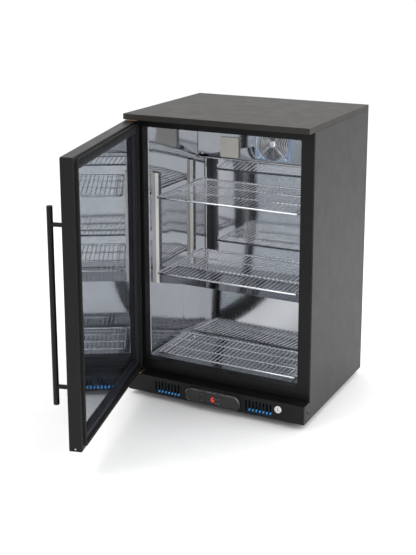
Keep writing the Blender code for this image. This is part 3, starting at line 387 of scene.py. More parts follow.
def skin(mesh, loops, closed=False):
    """Joins loops of equal length into a surface, capped at its ends unless it closes on itself."""
    made = [[mesh.verts.new(point) for point in loop] for loop in loops]
    count = len(loops[0])
    for k in range(len(made) if closed else len(made) - 1):
        here, there = made[k], made[(k + 1) % len(made)]
        for i in range(count):
            j = (i + 1) % count
            mesh.faces.new((here[i], here[j], there[j], there[i]))
    if not closed:
        mesh.faces.new(made[0][::-1])
        mesh.faces.new(made[-1])


def side_vectors(direction):
    """Two directions square to a direction and to each other."""
    helper = UP if abs(direction.z) < 0.9 else Vector((1, 0, 0))
    first = direction.cross(helper).normalized()
    return first, direction.cross(first).normalized()


def ring_points(centre, first, second, radius, sides):
    """The corners of a regular ring in the plane of two directions."""
    step = 2 * math.pi / sides
    return [
        centre + first * (radius * math.cos(i * step)) + second * (radius * math.sin(i * step))
        for i in range(sides)
    ]


def turn(mesh, start, direction, profile, sides=32, closed=False):
    """Turns a profile of (distance along, radius) about an axis from a start point."""
    start, direction = Vector(start), Vector(direction).normalized()
    first, second = side_vectors(direction)
    loops = [ring_points(start + direction * along, first, second, radius, sides)
             for along, radius in profile]
    skin(mesh, loops, closed)


def wire(mesh, path, radius, sides=10, closed=False):
    """A round wire along a path of points, mitred at its bends, with softly domed ends."""
    points = [Vector(point) for point in path]
    count = len(points)
    first = None
    loops = []
    for i, point in enumerate(points):
        before = points[i - 1] if i or closed else None
        after = points[(i + 1) % count] if i < count - 1 or closed else None
        incoming = (point - before).normalized() if before is not None else None
        outgoing = (after - point).normalized() if after is not None else None
        incoming = incoming or outgoing
        outgoing = outgoing or incoming
        direction = (incoming + outgoing).normalized()
        if first is None:
            first = side_vectors(direction)[0]
        first = (first - direction * first.dot(direction)).normalized()
        loops.append(ring_points(point, first, direction.cross(first), radius, sides))
    if not closed:
        loops = domed(loops, points)
    skin(mesh, loops, closed)


def domed(loops, points):
    """Adds a smaller ring beyond each end of a wire, its size and reach as shares of the radius."""
    tip_size, tip_reach = 0.55, 0.35
    tips = []
    for end, inner in ((0, 1), (-1, -2)):
        loop, point = loops[end], points[end]
        out = (point - points[inner]).normalized()
        radius = (loop[0] - point).length
        tips.append([point + (p - point) * tip_size + out * radius * tip_reach for p in loop])
    return [tips[0], *loops, tips[1]]


def rounded(x, z, corner, steps=8):
    """A rectangle's outline with round corners, as (first, second) pairs."""
    points = []
    for px, pz, start in ((x[1], z[1], 0), (x[0], z[1], 90), (x[0], z[0], 180), (x[1], z[0], 270)):
        cx = px - corner if start in (0, 270) else px + corner
        cz = pz - corner if start in (0, 90) else pz + corner
        for i in range(steps + 1):
            angle = math.radians(start + 90 * i / steps)
            points.append((cx + corner * math.cos(angle), cz + corner * math.sin(angle)))
    return points


def at_depth(outline, y):
    """The points of an outline of (x, z) pairs at a depth."""
    return [(a, y, b) for a, b in outline]


def slab(mesh, outline, y, drop=0.0):
    """A plate that faces Y, from an outline of (x, z) pairs; its front edge can be drawn in."""
    rim_share = 0.3
    middle = Vector([sum(axis) / len(outline) for axis in zip(*outline)])
    near = [middle + (Vector(p) - middle) * (1 - drop) for p in outline]
    rim = y[0] + (y[1] - y[0]) * rim_share
    skin(mesh, [at_depth(near, y[0]), at_depth(outline, rim), at_depth(outline, y[1])])


def screw(mesh, place, direction, radius):
    """A domed screw head with a recess."""
    rim = 0.0004
    dome = [(0.42, 0.72), (0.50, 0.36), (0.18, 0.26), (0.16, 0.02)]
    profile = [(-rim, radius), (rim, radius)]
    profile += [(radius * rise, radius * across) for rise, across in dome]
    turn(mesh, place, direction, profile, 14)


# ---------------------------------------------------------------- carcass

def carcass():
    """The outer sheets, the base pan, the back, the feet and the foam."""
    softened("worktop", "worktop_skin", "black_paint", 0.0016, WORKTOP_LIT_COPY, segments=3)
    softened("side_panel_left", "side_sheet_left", "black_paint", 0.0005, SIDE_LIT_COPY)
    softened("side_panel_right", "side_sheet_right", "black_paint", 0.0005, SIDE_LIT_COPY)
    softened("front_frame", "opening_surround", "black_paint", 0.0005)
    plinth = softened("kick_plate", "plinth", "black_paint", 0.0004)
    # The plinth's side faces take the sides' lighter copy of the black paint: painted light.
    plinth.data.materials.append(SIDE_LIT_COPY)
    for face in plinth.data.polygons:
        face.material_index = int(abs(face.normal.x) > FACING)
    pan = softened("base_tray", "blue_base_pan", "blue_base", 0.0004)
    # Only the pan's low, upward floor stays blue; its walls, flanges, raised faces and underside
    # are painted dark as painted shade.
    pan.data.materials.append(PAN_PAINTED_SHADE)
    pan_rim = 0.04
    for face in pan.data.polygons:
        face.material_index = int(face.normal.z < FACING or face.center.z > pan_rim)
    softened("back_panel", "back_sheet", "galvanised_steel", 0.0003)
    softened("rear_grille", "louvred_sheet", "galvanised_steel", 0.0003)
    softened("power_inlet", "inlet_socket", "black_plastic", 0.0006)
    for corner in ("front_left", "front_right", "rear_left", "rear_right"):
        softened(f"foot_{corner}", f"levelling_foot_{corner}", "black_plastic", 0.0004)
    repaint("foam_insulation", PALETTE["foam"])


def back_fittings():
    """Screws round the back sheets, hoods over the louvres and the inlet's pins."""
    low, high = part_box("rear_grille")
    top_low, top_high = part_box("back_panel")
    screws = bmesh.new()
    screw_radius = 0.0034
    grille_rows = (low.z + 0.008, high.z - 0.006)
    panel_rows = (top_low.z + 0.006, (top_low.z + top_high.z) / 2, top_high.z - 0.010)
    for z in grille_rows + panel_rows:
        for share in (0.02, 0.5, 0.98):
            x = low.x + (high.x - low.x) * share
            screw(screws, (x, high.y, z), (0, 1, 0), screw_radius)
    add_piece("back_screws", screws, "chrome", "cabinet")

    hoods = bmesh.new()
    rows, row_pitch, lowest = 8, 0.022, 0.077
    columns, column_pitch, first_left, wide = 4, 0.133, 0.0405, 0.117
    profile = [(0.0, 0.0012), (0.0030, -0.0005), (0.0042, -0.0040), (0.0034, -0.0040),
               (0.0024, -0.0010), (0.0, 0.0002)]
    for row in range(rows):
        z = lowest + row * row_pitch
        for column in range(columns):
            left = low.x + first_left + column * column_pitch
            loops = [[(x, high.y + out, z + rise) for out, rise in profile]
                     for x in (left, left + wide)]
            skin(hoods, loops)
    add_piece("louvre_hoods", hoods, "galvanised_steel", "cabinet", sharp=50)

    low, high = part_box("power_inlet")
    centre = (low + high) / 2
    pins = bmesh.new()
    half_wide, half_tall = 0.0011, 0.0022
    for offset, rise in ((-0.0055, -0.0015), (0.0, 0.0025), (0.0055, -0.0015)):
        x, z = centre.x + offset, centre.z + rise
        outline = rounded((x - half_wide, x + half_wide), (z - half_tall, z + half_tall), 0.0005, 2)
        slab(pins, outline, (high.y - 0.003, low.y + 0.007), 0.1)
    add_piece("inlet_pins", pins, "brass", "cabinet")


ROOM_SHEET = 0.001
ROOM_BEND = 0.006


def cold_room():
    """The liner with its round inner corners, and the bead up and over its front edge."""
    low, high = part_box("liner")
    sheet = ROOM_SHEET
    left, right = low.x + sheet, high.x - sheet
    front, back = low.y, high.y - sheet
    floor, roof = low.z + sheet, high.z - sheet
    step_front, step_top = liner_step(low, high, sheet)
    outline = [(front, floor), (step_front, floor), (step_front, step_top), (back, step_top),
               (back, roof), (front, roof)]
    mesh = bmesh.new()
    sides = [[mesh.verts.new((x, y, z)) for y, z in outline] for x in (left, right)]
    mesh.faces.new(sides[0])
    mesh.faces.new(sides[1][::-1])
    for i in range(len(outline) - 1):
        mesh.faces.new((sides[0][i], sides[1][i], sides[1][i + 1], sides[0][i + 1]))
    nose = {row[2] for row in sides}
    bends = [edge for edge in mesh.edges
             if len(edge.link_faces) == 2 and nose.isdisjoint(edge.verts)]
    bmesh.ops.bevel(mesh, geom=bends, offset=ROOM_BEND, segments=4, profile=0.5, affect="EDGES")
    room = add_piece("polished_room", mesh, "polished_liner", "cabinet",
                     replaces=["liner"], sharp=60)
    room.data.flip_normals()
    thick = room.modifiers.new("sheet", "SOLIDIFY")
    thick.thickness = sheet
    thick.offset = -1.0
    soften(room, 0.0007)

    bead = bmesh.new()
    radius = 0.0012
    corner_steps = 4
    foot = floor + 0.004
    across, upwards = (left + radius, right - radius), (foot, roof - radius)
    top_corners = rounded(across, upwards, ROOM_BEND, corner_steps)[:2 * (corner_steps + 1)]
    path = [(right - radius, foot), *top_corners, (left + radius, foot)]
    wire(bead, at_depth(path, front + radius), radius, 8)
    add_piece("room_edge_bead", bead, "chrome", "cabinet")
    corner_gussets((left, right), front, (floor, roof))


def corner_gussets(sides, front, heights):
    """Small plates that close the gap outside the room's four round front corners."""
    bend, arc, lap = ROOM_BEND, 0.0064, 0.0008
    quarter = [math.radians(15 * i) for i in range(7)]
    outline = [(-lap, -lap), (bend, -lap)]
    outline += [(bend - arc * math.sin(a), bend - arc * math.cos(a)) for a in quarter]
    outline.append((-lap, bend))
    depth = (front - 0.0002, front + 0.0004)
    mesh = bmesh.new()
    for x, inwards in zip(sides, (1, -1)):
        for z, rise in zip(heights, (1, -1)):
            slab(mesh, [(x + inwards * a, z + rise * b) for a, b in outline], depth)
    add_piece("room_corner_gussets", mesh, "polished_liner", "cabinet")


def liner_step(low, high, sheet):
    """Where the step over the machine space begins and how high it is, from the liner's mesh."""
    points = [v.co for v in NODES["liner"].data.vertices]
    heights = [p.z for p in points if p.y > high.y - 2 * sheet]
    depths = [p.y for p in points if p.z < low.z + 2 * sheet]
    return max(depths) - sheet, min(heights) + sheet


# ---------------------------------------------------------------- shelving

SHELF_NODES = {"shelf_upper": "wire_shelf_upper", "shelf_lower": "wire_shelf_lower",
               "bottom_rack": "wire_rack_bottom"}
# Wire radii.
RIM_WIRE = 0.0033
ROD_WIRE = 0.0025
CROSS_WIRE = ROD_WIRE * 0.9
SLAT_WIRE = 0.0015
SLAT_PITCH = 0.0146
# The rim and the rods stand this far up into the plane of the slats, as they're welded.
RIM_SINK = 0.0018
ROD_SINK = 0.0004


def wire_shelf(node, name):
    """A welded rack: a thick rim, a second rod near each side, cross rods, and slats on top."""
    low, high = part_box(node)
    slat_z = high.z - SLAT_WIRE
    rim_z = slat_z - SLAT_WIRE - RIM_WIRE + RIM_SINK
    rod_z = slat_z - SLAT_WIRE - ROD_WIRE + ROD_SINK
    mesh = bmesh.new()
    left, right = low.x + RIM_WIRE, high.x - RIM_WIRE
    front, back = low.y + RIM_WIRE, high.y - RIM_WIRE
    rim = rounded((left, right), (front, back), 0.009, 5)
    wire(mesh, [(x, y, rim_z) for x, y in rim], RIM_WIRE, 12, closed=True)
    rod_inset, slat_inset, slat_short = 0.0205, 0.0125, 0.0006
    for x in (low.x + rod_inset, high.x - rod_inset):
        wire(mesh, [(x, front, rod_z), (x, back, rod_z)], ROD_WIRE, 10)
    for share in (0.36, 0.70):
        y = front + (back - front) * share
        wire(mesh, [(left, y, rod_z), (right, y, rod_z)], CROSS_WIRE, 10)
    first, last = low.x + slat_inset, high.x - slat_inset
    count = round((last - first) / SLAT_PITCH)
    for i in range(count + 1):
        x = first + (last - first) * i / count
        slat = [(x, low.y + slat_short, slat_z), (x, high.y - slat_short, slat_z)]
        wire(mesh, slat, SLAT_WIRE, 8)
    if node == "bottom_rack":
        floor = low.z + ROD_WIRE
        skid_inset, skid_top, skid_foot = 0.040, 0.012, 0.016
        for x in (low.x + skid_inset, high.x - skid_inset):
            skid = [(x, front + skid_top, rod_z), (x, front + skid_foot, floor),
                    (x, back - skid_foot, floor), (x, back - skid_top, rod_z)]
            wire(mesh, skid, CROSS_WIRE, 10)
    add_piece(name, mesh, "chrome", NODES[node]["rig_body"], replaces=[node])


def shelf_clip(mesh, side, web, y, z):
    """A hooked clip: a plate on the upright, a ledge under the side wire, an upturned lip."""
    half_width = 0.0065
    profile = [
        (0.0002, 0.010), (0.0014, 0.010), (0.0014, -0.0012), (0.0090, -0.0012), (0.0102, 0.0000),
        (0.0102, 0.0030), (0.0114, 0.0030), (0.0114, -0.0010), (0.0098, -0.0026), (0.0014, -0.0026),
        (0.0014, -0.010), (0.0002, -0.010),
    ]
    loops = [[(web - side * out, y + across, z + rise) for out, rise in profile]
             for across in (-half_width, half_width)]
    skin(mesh, loops)


def upright(node, name, side):
    """A channel with a cream front flange; its web towards the room is painted grey, a painted
    reflection of the dark room, and its hollow is painted dark as painted shade.
    """
    low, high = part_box(node)
    piece = softened(node, name, "white_upright", 0.0003)
    piece.data.materials.append(WEB_PAINTED_SHADE)
    piece.data.materials.append(HOLLOW_PAINTED_SHADE)
    skin_depth = 0.0005
    for face in piece.data.polygons:
        inside = low.y + skin_depth < face.center.y < high.y - skin_depth
        if face.normal.x * side < -FACING:
            face.material_index = 1
        elif inside and abs(face.normal.z) < FACING:
            face.material_index = 2


def shelving():
    """The three racks, the four uprights and the clips that carry the two upper racks."""
    for node, name in SHELF_NODES.items():
        wire_shelf(node, name)
    for side_name, side in (("left", -1), ("right", 1)):
        for row in ("front", "rear"):
            node = f"shelf_upright_{row}_{side_name}"
            upright(node, f"slotted_upright_{row}_{side_name}", side)
            low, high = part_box(node)
            web = high.x if side < 0 else low.x
            clips = bmesh.new()
            for shelf in ("shelf_upper", "shelf_lower"):
                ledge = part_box(shelf)[1].z - 2 * SLAT_WIRE - 2 * RIM_WIRE + RIM_SINK
                shelf_clip(clips, side, web, (low.y + high.y) / 2, ledge)
            add_piece(f"shelf_clips_{row}_{side_name}", clips, "chrome", "cabinet", sharp=25)


# ---------------------------------------------------------------- evaporator

def evaporator_panel():
    """The mirror cover with its screws and hem, the fan plate, the sensor and the lamp."""
    softened("evaporator_cover", "mirror_cover", "polished_liner", 0.0004)
    softened("evaporator_fan_plate", "fan_mounting_plate", "fan_plate", 0.0005)
    softened("sensor_cover", "sensor_housing", "cream_plastic", 0.0012, segments=3)
    softened("evaporator_fan_motor", "fan_motor_cap", "black_plastic", 0.0006)
    softened("led_housing", "lamp_housing", "black_plastic", 0.0008)
    softened("led_diffuser", "lamp_lens", "led_diffuser", 0.0005)
    repaint("evaporator_coil", PALETTE["fin_aluminium"])
    low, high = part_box("evaporator_cover")
    screws = bmesh.new()
    face, screw_radius = low.y + 0.004, 0.003
    for share in (0.03, 0.27, 0.73, 0.97):
        x = low.x + (high.x - low.x) * share
        for z in (high.z - 0.010, low.z + 0.014):
            screw(screws, (x, face, z), (0, -1, 0), screw_radius)
    add_piece("cover_screws", screws, "chrome", "cabinet")
    rail = bmesh.new()
    radius, end_gap = 0.0024, 0.004
    y, z = low.y + radius * 0.4, low.z + radius
    wire(rail, [(low.x + end_gap, y, z), (high.x - end_gap, y, z)], radius, 12)
    add_piece("cover_hem_rail", rail, "chrome", "cabinet")


def wire_guard():
    """The fan's round-wire guard: rings on four arms that end in screwed eyes."""
    low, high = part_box("fan_guard")
    centre = (low + high) / 2
    front_gap = Vector((0, 0.0012, 0))
    centre.y = low.y + front_gap.y
    across = Vector((1, 0, 0))
    wire_radius = 0.0011
    eye_radius, eye_reach = 0.0034, 0.0125
    outer = (high.x - low.x) / 2 - wire_radius
    mesh = bmesh.new()
    rings = 8
    inner = 0.0150
    for k in range(rings):
        radius = inner + (outer - inner) * k / (rings - 1)
        ring = ring_points(centre, across, UP, radius, 48)
        wire(mesh, ring, wire_radius, 8, closed=True)
    weld = 0.0003
    behind = Vector((0, 2 * wire_radius - weld, 0))
    arm_start, arm_radius = 0.006, wire_radius * 1.2
    screws = bmesh.new()
    for k in range(4):
        angle = math.radians(45 + 90 * k)
        out = Vector((math.cos(angle), 0, math.sin(angle)))
        eye = centre + behind + out * (outer + eye_reach)
        wire(mesh, [centre + behind + out * arm_start, eye - out * eye_radius], arm_radius, 8)
        wire(mesh, ring_points(eye, across, UP, eye_radius, 16), wire_radius, 8, closed=True)
        screw(screws, eye, (0, -1, 0), 0.0026)
    boss = [(0.0, 0.0112), (0.0010, 0.0118), (0.0018, 0.0108), (0.0024, 0.0070), (0.0026, 0.0006)]
    turn(mesh, centre + front_gap, (0, -1, 0), boss, 28)
    add_piece("wire_fan_guard", mesh, "chrome", "cabinet", replaces=["fan_guard"])
    add_piece("guard_screws", screws, "chrome", "cabinet")


def fan_wheel(node, name, hub, root_pitch, tip_pitch):
    """An axial fan wheel: a round hub and cambered blades that twist towards their tips."""
    blades = 5
    low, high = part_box(node)
    centre = (low + high) / 2
    tip_gap = 0.0015
    reach = max(high.x - centre.x, high.z - centre.z) - tip_gap
    deep = high.y - low.y
    mesh = bmesh.new()
    turn(mesh, (centre.x, low.y, centre.z), (0, 1, 0), [
        (0.0, hub * 0.55), (0.0006, hub * 0.86), (0.0030, hub), (deep, hub),
        (deep, hub - 0.0015), (deep * 0.4, hub - 0.0020), (deep * 0.38, 0.001),
    ], 36)
    stations, across = 7, 6
    sunk, tip_sweep = 0.001, 0.14
    edge, swell, camber_share = 0.0007, 0.0006, 0.09
    for k in range(blades):
        spin = Matrix.Rotation(2 * math.pi * k / blades, 4, "Y")
        loops = []
        for i in range(stations):
            share = i / (stations - 1)
            radius = hub - sunk + (reach - hub) * share
            pitch = root_pitch + (tip_pitch - root_pitch) * share
            chord = min(radius * 1.02, (deep * 0.92) / math.sin(pitch))
            sweep = tip_sweep * share
            upper, lower = [], []
            for j in range(across + 1):
                t = j / across - 0.5
                bow = 1 - 4 * t * t
                camber = chord * camber_share * bow
                thick = edge + swell * bow
                for row, lift in ((upper, thick), (lower, -thick)):
                    along = t * chord * math.cos(pitch) - (camber + lift) * math.sin(pitch)
                    rise = t * chord * math.sin(pitch) + (camber + lift) * math.cos(pitch)
                    turned = sweep + along / radius
                    row.append(Vector((radius * math.cos(turned), rise, radius * math.sin(turned))))
            loops.append([centre + (spin @ p) for p in upper + lower[::-1]])
        skin(mesh, loops)
    add_piece(name, mesh, "black_plastic", NODES[node]["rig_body"], replaces=[node])


# ---------------------------------------------------------------- machine space

def machine_space():
    """The compressor, the tray and the condenser with its fan, and both fans' wheels."""
    softened("compressor", "compressor_pot", "compressor_black", 0.0006)
    softened("compressor_mount", "rubber_mounts", "gasket_rubber", 0.0010)
    softened("evaporation_tray", "melt_tray", "tray_plastic", 0.0006)
    softened("condenser_fan_shroud", "fan_cowl", "galvanised_steel", 0.0003)
    softened("condenser_fan_motor", "cowl_motor", "galvanised_steel", 0.0008)
    repaint("condenser_coil", PALETTE["condenser_fins"])
    fan_wheel("evaporator_fan_blades", "cold_fan_wheel", 0.0185, math.radians(38), math.radians(26))
    fan_wheel("condenser_fan_blades", "warm_fan_wheel", 0.0220, math.radians(36), math.radians(24))


# ---------------------------------------------------------------- controls

def controller_fascia():
    """The stadium-shaped surround with its raised rim, and the windows through it."""
    low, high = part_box("controller_bezel")
    corner, steps = 0.0235, 14

    def stadium(inset, depth):
        x, z = (low.x + inset, high.x - inset), (low.z + inset, high.z - inset)
        return at_depth(rounded(x, z, corner - inset, steps), low.y + depth)

    mesh = bmesh.new()
    profile = [(0.0, high.y - low.y), (0.0, 0.0040), (0.0004, 0.0034), (0.0030, 0.0006),
               (0.0036, 0.0001), (0.0042, 0.0), (0.0050, 0.0004), (0.0056, 0.0014),
               (0.0060, 0.0020)]
    skin(mesh, [stadium(inset, depth) for inset, depth in profile])
    fascia = add_piece("controller_fascia", mesh, "black_plastic", "cabinet", FASCIA,
                       ["controller_bezel"], sharp=15)
    # The ridge along the top is lighter than the fascia: a painted highlight line.
    ridge = bmesh.new()
    skipped = 2
    upper_half = stadium(0.0034, 0.0006)[skipped:2 * (steps + 1) - skipped]
    wire(ridge, upper_half, 0.0011, 8)
    add_piece("fascia_top_ridge", ridge, "black_plastic", "cabinet", RIDGE_PAINTED_HIGHLIGHT)

    windows = bmesh.new()
    gap = 0.0004
    reach = (low.y - 0.01, high.y + 0.01)
    lens_corner, key_corner = 0.0021, 0.0014
    openings = [("display_lens", lens_corner)]
    openings += [(f"button_{button}", key_corner) for button in BUTTONS]
    for node, round_corner in openings:
        inner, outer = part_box(node)
        x, z = (inner.x - gap, outer.x + gap), (inner.z - gap, outer.z + gap)
        slab(windows, rounded(x, z, round_corner, 4), reach)
    cut(fascia, windows)
    repaint("controller_module", PALETTE["black_plastic"])


SEGMENTS = {
    "top": ((0, 1), (1, 1)), "middle": ((0, 0.5), (1, 0.5)), "bottom": ((0, 0), (1, 0)),
    "upper_left": ((0, 0.5), (0, 1)), "lower_left": ((0, 0), (0, 0.5)),
    "upper_right": ((1, 0.5), (1, 1)), "lower_right": ((1, 0), (1, 0.5)),
}
DIGITS = {
    "1": ("upper_right", "lower_right"),
    "6": ("top", "upper_left", "middle", "lower_left", "lower_right", "bottom"),
}


def bar(mesh, start, end, y, width):
    """A pointed bar in a plane that faces Y, as in a numeric display."""
    start, end = Vector(start), Vector(end)
    along = (end - start).normalized()
    across = Vector((-along.y, along.x))
    half = width / 2
    start, end = start + along * half * 0.5, end - along * half * 0.5
    outline = [start, start + (along + across) * half, end + (across - along) * half, end,
               end - (along + across) * half, start + (along - across) * half]
    slab(mesh, [tuple(p) for p in outline], y)


def display():
    """A generic two-digit reading and two status lights on the smoked lens."""
    softened("display_lens", "smoked_window", "display_lens", 0.0003)
    low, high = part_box("display_lens")
    front = low.y
    y = (front - 0.0003, front + 0.0002)
    tall, wide, slant, stroke = 0.0135, 0.0062, 0.0010, 0.0010
    base = (low.z + high.z) / 2 - tall / 2
    lit = bmesh.new()
    for place, digit in ((high.x - 0.0175, "1"), (high.x - 0.0085, "6")):
        for segment in DIGITS[digit]:
            ends = [(place + a * wide + (b - 0.5) * slant, base + b * tall)
                    for a, b in SEGMENTS[segment]]
            bar(lit, *ends, y, stroke)
    x, beyond = low.x + 0.0075, 0.0028
    dot = [(0.0, 0.0009), (0.0004, 0.0008), (0.0006, 0.0003)]
    for z in (base - beyond, base + tall + beyond):
        turn(lit, (x, front + 0.0001, z), (0, -1, 0), dot, 14)
    add_piece("display_reading", lit, "display_lens", "cabinet", RED_GLOW)


BUTTONS = ("up", "light", "down", "set")


def button_sign(mesh, kind, centre, y):
    """A plain raised sign: an arrow, a lamp's disc with six rays, or a ring."""
    x, z = centre
    size = 0.0019
    thick = y[1] - y[0]
    if kind in ("up", "down"):
        sign = 1 if kind == "up" else -1
        foot = z - sign * size * 0.7
        slab(mesh, [(x - size, foot), (x + size, foot), (x, z + sign * size)], y)
    elif kind == "light":
        turn(mesh, (x, y[1], z), (0, -1, 0), [(0.0, size * 0.75), (thick, size * 0.7)], 14)
        ray_start, ray_end, ray_width = size, size * 1.5, 0.0004
        middle = Vector((x, z))
        for k in range(6):
            angle = math.pi * k / 3
            out = Vector((math.cos(angle), math.sin(angle)))
            bar(mesh, middle + out * ray_start, middle + out * ray_end, y, ray_width)
    else:
        inner, outer = size * 0.6, size * 0.95
        ring = [(0.0, outer), (thick, outer), (thick, inner), (0.0, inner)]
        turn(mesh, (x, y[1], z), (0, -1, 0), ring, 18, closed=True)


def buttons():
    """The four keys, each with its sign."""
    for kind in BUTTONS:
        node = f"button_{kind}"
        softened(node, f"key_{kind}", "black_plastic", 0.0005, FASCIA, segments=3)
        low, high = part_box(node)
        sign = bmesh.new()
        centre = ((low.x + high.x) / 2, (low.z + high.z) / 2)
        button_sign(sign, kind, centre, (low.y - 0.0002, low.y + 0.0001))
        add_piece(f"key_sign_{kind}", sign, "black_plastic", NODES[node]["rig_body"], PRINT)


def lock():
    """The lock's rim, its turning plug with the pin in the keyway, and its tongue."""
    softened("lock_barrel", "lock_rim", "chrome", 0.0003)
    softened("lock_plug", "lock_key_plug", "chrome", 0.0002)
    softened("lock_cam", "lock_tongue", "galvanised_steel", 0.0003)
    low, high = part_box("lock_plug")
    centre = (low + high) / 2
    pin = bmesh.new()
    keyway_floor = low.y + 0.0048
    turn(pin, (centre.x, keyway_floor, centre.z), (0, -1, 0),
         [(0.0, 0.0011), (0.0036, 0.0011), (0.0040, 0.0007)], 12)
    add_piece("lock_key_pin", pin, "brass", NODES["lock_plug"]["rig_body"])


# ---------------------------------------------------------------- door

SWING = JOINTS["door_swing"]
HINGE = Vector(SWING["pos_m"])
OPENED = math.radians(SWING["range_deg"][1])
TURN_OPEN = Matrix.Rotation(-OPENED, 4, "Z")
SHUT_TO_REST = Matrix.Translation(HINGE) @ TURN_OPEN @ Matrix.Translation(-HINGE)
REST_TO_SHUT = SHUT_TO_REST.inverted()


def shut_box(node):
    """A door node's lowest and highest corners when the door is shut."""
    points = [REST_TO_SHUT @ v.co for v in NODES[node].data.vertices]
    low = Vector([min(axis) for axis in zip(*points)])
    high = Vector([max(axis) for axis in zip(*points)])
    return low, high


def door_piece(name, mesh, slot, material=None, replaces=(), sharp=35):
    """A piece drawn on the shut door, turned to where the door rests."""
    bmesh.ops.transform(mesh, matrix=SHUT_TO_REST, verts=mesh.verts[:])
    return add_piece(name, mesh, slot, "door", material, replaces, sharp)


def frame_loop(low, high, inset, y, corner):
    """A round-cornered loop a given inset inside a box, facing Y."""
    across, upwards = (low.x + inset, high.x - inset), (low.z + inset, high.z - inset)
    return at_depth(rounded(across, upwards, corner, 5), y)


def door_seal():
    """The magnetic gasket: a hollow-looking bellows with two ribs and a soft magnet strip."""
    low, high = shut_box("door_gasket")
    back = high.y
    root = back - 0.0059
    outer_corner = 0.0165
    profile = [
        (0.0000, root), (0.0003, back - 0.0042), (0.0010, back - 0.0034), (0.0003, back - 0.0026),
        (0.0006, back - 0.0010), (0.0018, back - 0.0002), (0.0040, back), (0.0052, back - 0.0003),
        (0.0058, back - 0.0016), (0.0064, back - 0.0003), (0.0076, back), (0.0102, back - 0.0002),
        (0.0112, back - 0.0012), (0.0116, back - 0.0028), (0.0126, back - 0.0036),
        (0.0138, back - 0.0046), (0.0140, root),
    ]
    mesh = bmesh.new()
    loops = [frame_loop(low, high, inset, y, outer_corner - inset) for inset, y in profile]
    skin(mesh, loops, closed=True)
    door_piece("bellows_seal", mesh, "gasket_rubber", replaces=["door_gasket"])


def glass_edge():
    """The satin bead round the glass, with a stepped section."""
    low, high = shut_box("glazing_bead")
    front, back = low.y, high.y
    wide = 0.0095
    outer_corner, tightening = 0.0102, 0.9
    profile = [
        (0.0, front), (0.0, back - 0.0003), (0.0010, back), (wide - 0.0042, back),
        (wide - 0.0034, back - 0.0004), (wide - 0.0030, back - 0.0012),
        (wide - 0.0014, back - 0.0016), (wide - 0.0006, back - 0.0024),
        (wide - 0.0004, back - 0.0060), (wide, back - 0.0070), (wide, front),
    ]
    mesh = bmesh.new()
    loops = [frame_loop(low, high, inset, y, outer_corner - inset * tightening)
             for inset, y in profile]
    skin(mesh, loops, closed=True)
    door_piece("satin_glass_bead", mesh, "black_plastic", SATIN_BEAD, ["glazing_bead"])


def pull_handle():
    """The round bar and its two posts, each with a collar on the door."""
    low, high = shut_box("handle_bar")
    centre = (low + high) / 2
    radius = (high.x - low.x) / 2
    long = high.z - low.z
    bar_mesh = bmesh.new()
    edge = 0.0016
    profile = [(0.0, radius - 3 * edge), (0.0002, radius - edge)]
    profile += [(edge - edge * math.cos(a), radius - edge + edge * math.sin(a))
                for a in [math.radians(30 * i) for i in range(1, 4)]]
    profile += [(long - along, r) for along, r in profile[::-1]]
    turn(bar_mesh, (centre.x, centre.y, low.z), (0, 0, 1), profile, 40)
    door_piece("pull_bar", bar_mesh, "black_paint", replaces=["handle_bar"])
    collar, collar_rim = 0.0012, 0.0006
    for name in ("lower", "upper"):
        node = f"handle_post_{name}"
        post_low, post_high = shut_box(node)
        middle = (post_low + post_high) / 2
        post_radius = (post_high.x - post_low.x) / 2
        neck = post_radius * 0.86
        seat = post_high.y
        reach = seat - (centre.y + radius * 0.72)
        post = bmesh.new()
        turn(post, (middle.x, seat, middle.z), (0, -1, 0), [
            (0.0, post_radius + collar), (0.0016, post_radius + collar),
            (0.0022, post_radius + collar_rim), (0.0024, neck), (reach, neck),
        ], 32)
        door_piece(f"bar_post_{name}", post, "black_paint", replaces=[node])


def door_details():
    """The rails, the panes, the spacer, and the end cap's screw on the free edge."""
    softened("door_frame", "door_rails", "black_paint", 0.0007, segments=3)
    repaint("door_glass_outer", PALETTE["door_glass"])
    repaint("door_glass_inner", MIRROR_PANE)
    repaint("glass_spacer", PALETTE["gasket_rubber"])
    low, high = shut_box("door_frame")
    screws = bmesh.new()
    middle = (low.y + high.y) / 2
    screw(screws, (high.x, middle, low.z + 0.008), (1, 0, 0), 0.0024)
    door_piece("corner_screw", screws, "galvanised_steel")


def hinge_details():
    """The two hinge plates, the bush, and the screws of the lower plate."""
    for end in ("bottom", "top"):
        softened(f"hinge_bracket_{end}", f"hinge_plate_{end}", "galvanised_steel", 0.0004,
                 YELLOW_ZINC)
    softened("hinge_bush", "pivot_bush", "brass", 0.0002)
    low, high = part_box("hinge_bracket_bottom")
    screws = bmesh.new()
    plate_top, screw_inset, screw_radius = low.z + 0.0022, 0.008, 0.0022
    for share in (0.28, 0.78):
        place = (high.x - screw_inset, low.y + (high.y - low.y) * share, plate_top)
        screw(screws, place, (0, 0, 1), screw_radius)
    add_piece("hinge_screws", screws, "brass", "cabinet")


# ---------------------------------------------------------------- studio

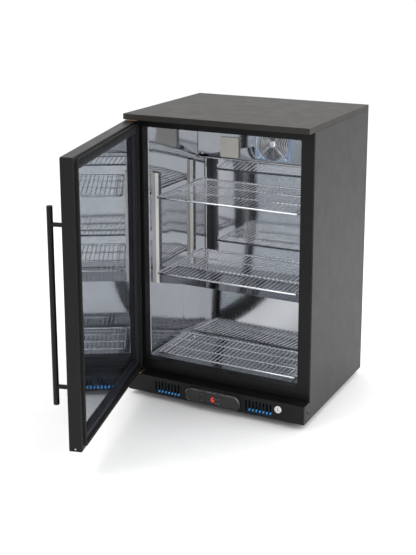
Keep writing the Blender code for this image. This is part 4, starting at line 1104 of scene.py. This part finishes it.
def studio():
    """A pale floor, a white room and large soft lights."""
    world = bpy.data.worlds.new("white_room")
    bpy.context.scene.world = world
    world.use_nodes = True
    sky = world.node_tree.nodes["Background"]
    sky.inputs["Color"].default_value = (1.0, 1.0, 1.0, 1.0)
    sky.inputs["Strength"].default_value = 1.06

    half = 9.0
    data = bpy.data.meshes.new("studio_floor")
    corners = [(-half, -half, 0), (half, -half, 0), (half, half, 0), (-half, half, 0)]
    data.from_pydata(corners, [], [(0, 1, 2, 3)])
    floor = bpy.data.objects.new("studio_floor", data)
    bpy.context.scene.collection.objects.link(floor)
    data.materials.append(coated("pale_floor", (0.94, 0.94, 0.94), 0.7, uneven=0.01))

    lights = {
        "front_softbox": ((-1.6, -3.0, 3.2), 2.4, 18),
        "right_softbox": ((3.0, 0.6, 2.2), 2.6, 56),
        "top_softbox": ((0.2, 0.8, 3.6), 2.6, 22),
        "overhead_strip": ((-1.7, -1.8, 3.2), 1.3, 24),
    }
    target = Vector((0, 0, 0.45))
    for name, (place, size, power) in lights.items():
        lamp = bpy.data.lights.new(name, "AREA")
        lamp.shape = "SQUARE"
        lamp.size = size
        lamp.energy = power
        holder = bpy.data.objects.new(name, lamp)
        holder.location = place
        holder.rotation_euler = (target - Vector(place)).to_track_quat("-Z", "Y").to_euler()
        bpy.context.scene.collection.objects.link(holder)


def tray_light():
    """A sun that only the blue base pan takes, through the plinth's slots."""
    lamp = bpy.data.lights.new("tray_light", "SUN")
    lamp.energy = 18.0
    lamp.angle = 0.03
    holder = bpy.data.objects.new("tray_light", lamp)
    slope = math.radians(38)
    holder.rotation_euler = (slope, 0, 0)
    bpy.context.scene.collection.objects.link(holder)
    blockers = ("plinth", "opening_surround", "worktop_skin", "side_sheet_left", "side_sheet_right",
                "foam_insulation", "controller_fascia", "lock_rim")
    for role, pieces in (("receiver", ("blue_base_pan",)), ("blocker", blockers)):
        linked = bpy.data.collections.new(f"tray_light_{role}")
        for piece in pieces:
            linked.objects.link(bpy.data.objects[piece])
        setattr(holder.light_linking, f"{role}_collection", linked)


def camera():
    """The camera, and tones shown as they are."""
    data = bpy.data.cameras.new("view")
    data.lens = CAMERA_LENS
    data.shift_y = CAMERA_SHIFT
    eye = bpy.data.objects.new("view", data)
    eye.location = CAMERA_PLACE
    aim = Matrix.Rotation(CAMERA_YAW, 4, "Z") @ Matrix.Rotation(math.pi / 2 - CAMERA_PITCH, 4, "X")
    eye.rotation_euler = (aim @ Matrix.Rotation(CAMERA_ROLL, 4, "Z")).to_euler()
    bpy.context.scene.collection.objects.link(eye)
    bpy.context.scene.camera = eye
    bpy.context.scene.view_settings.view_transform = "Standard"


camera()
studio()
carcass()
back_fittings()
cold_room()
shelving()
evaporator_panel()
wire_guard()
machine_space()
controller_fascia()
display()
buttons()
lock()
door_seal()
glass_edge()
pull_handle()
door_details()
hinge_details()
tray_light()
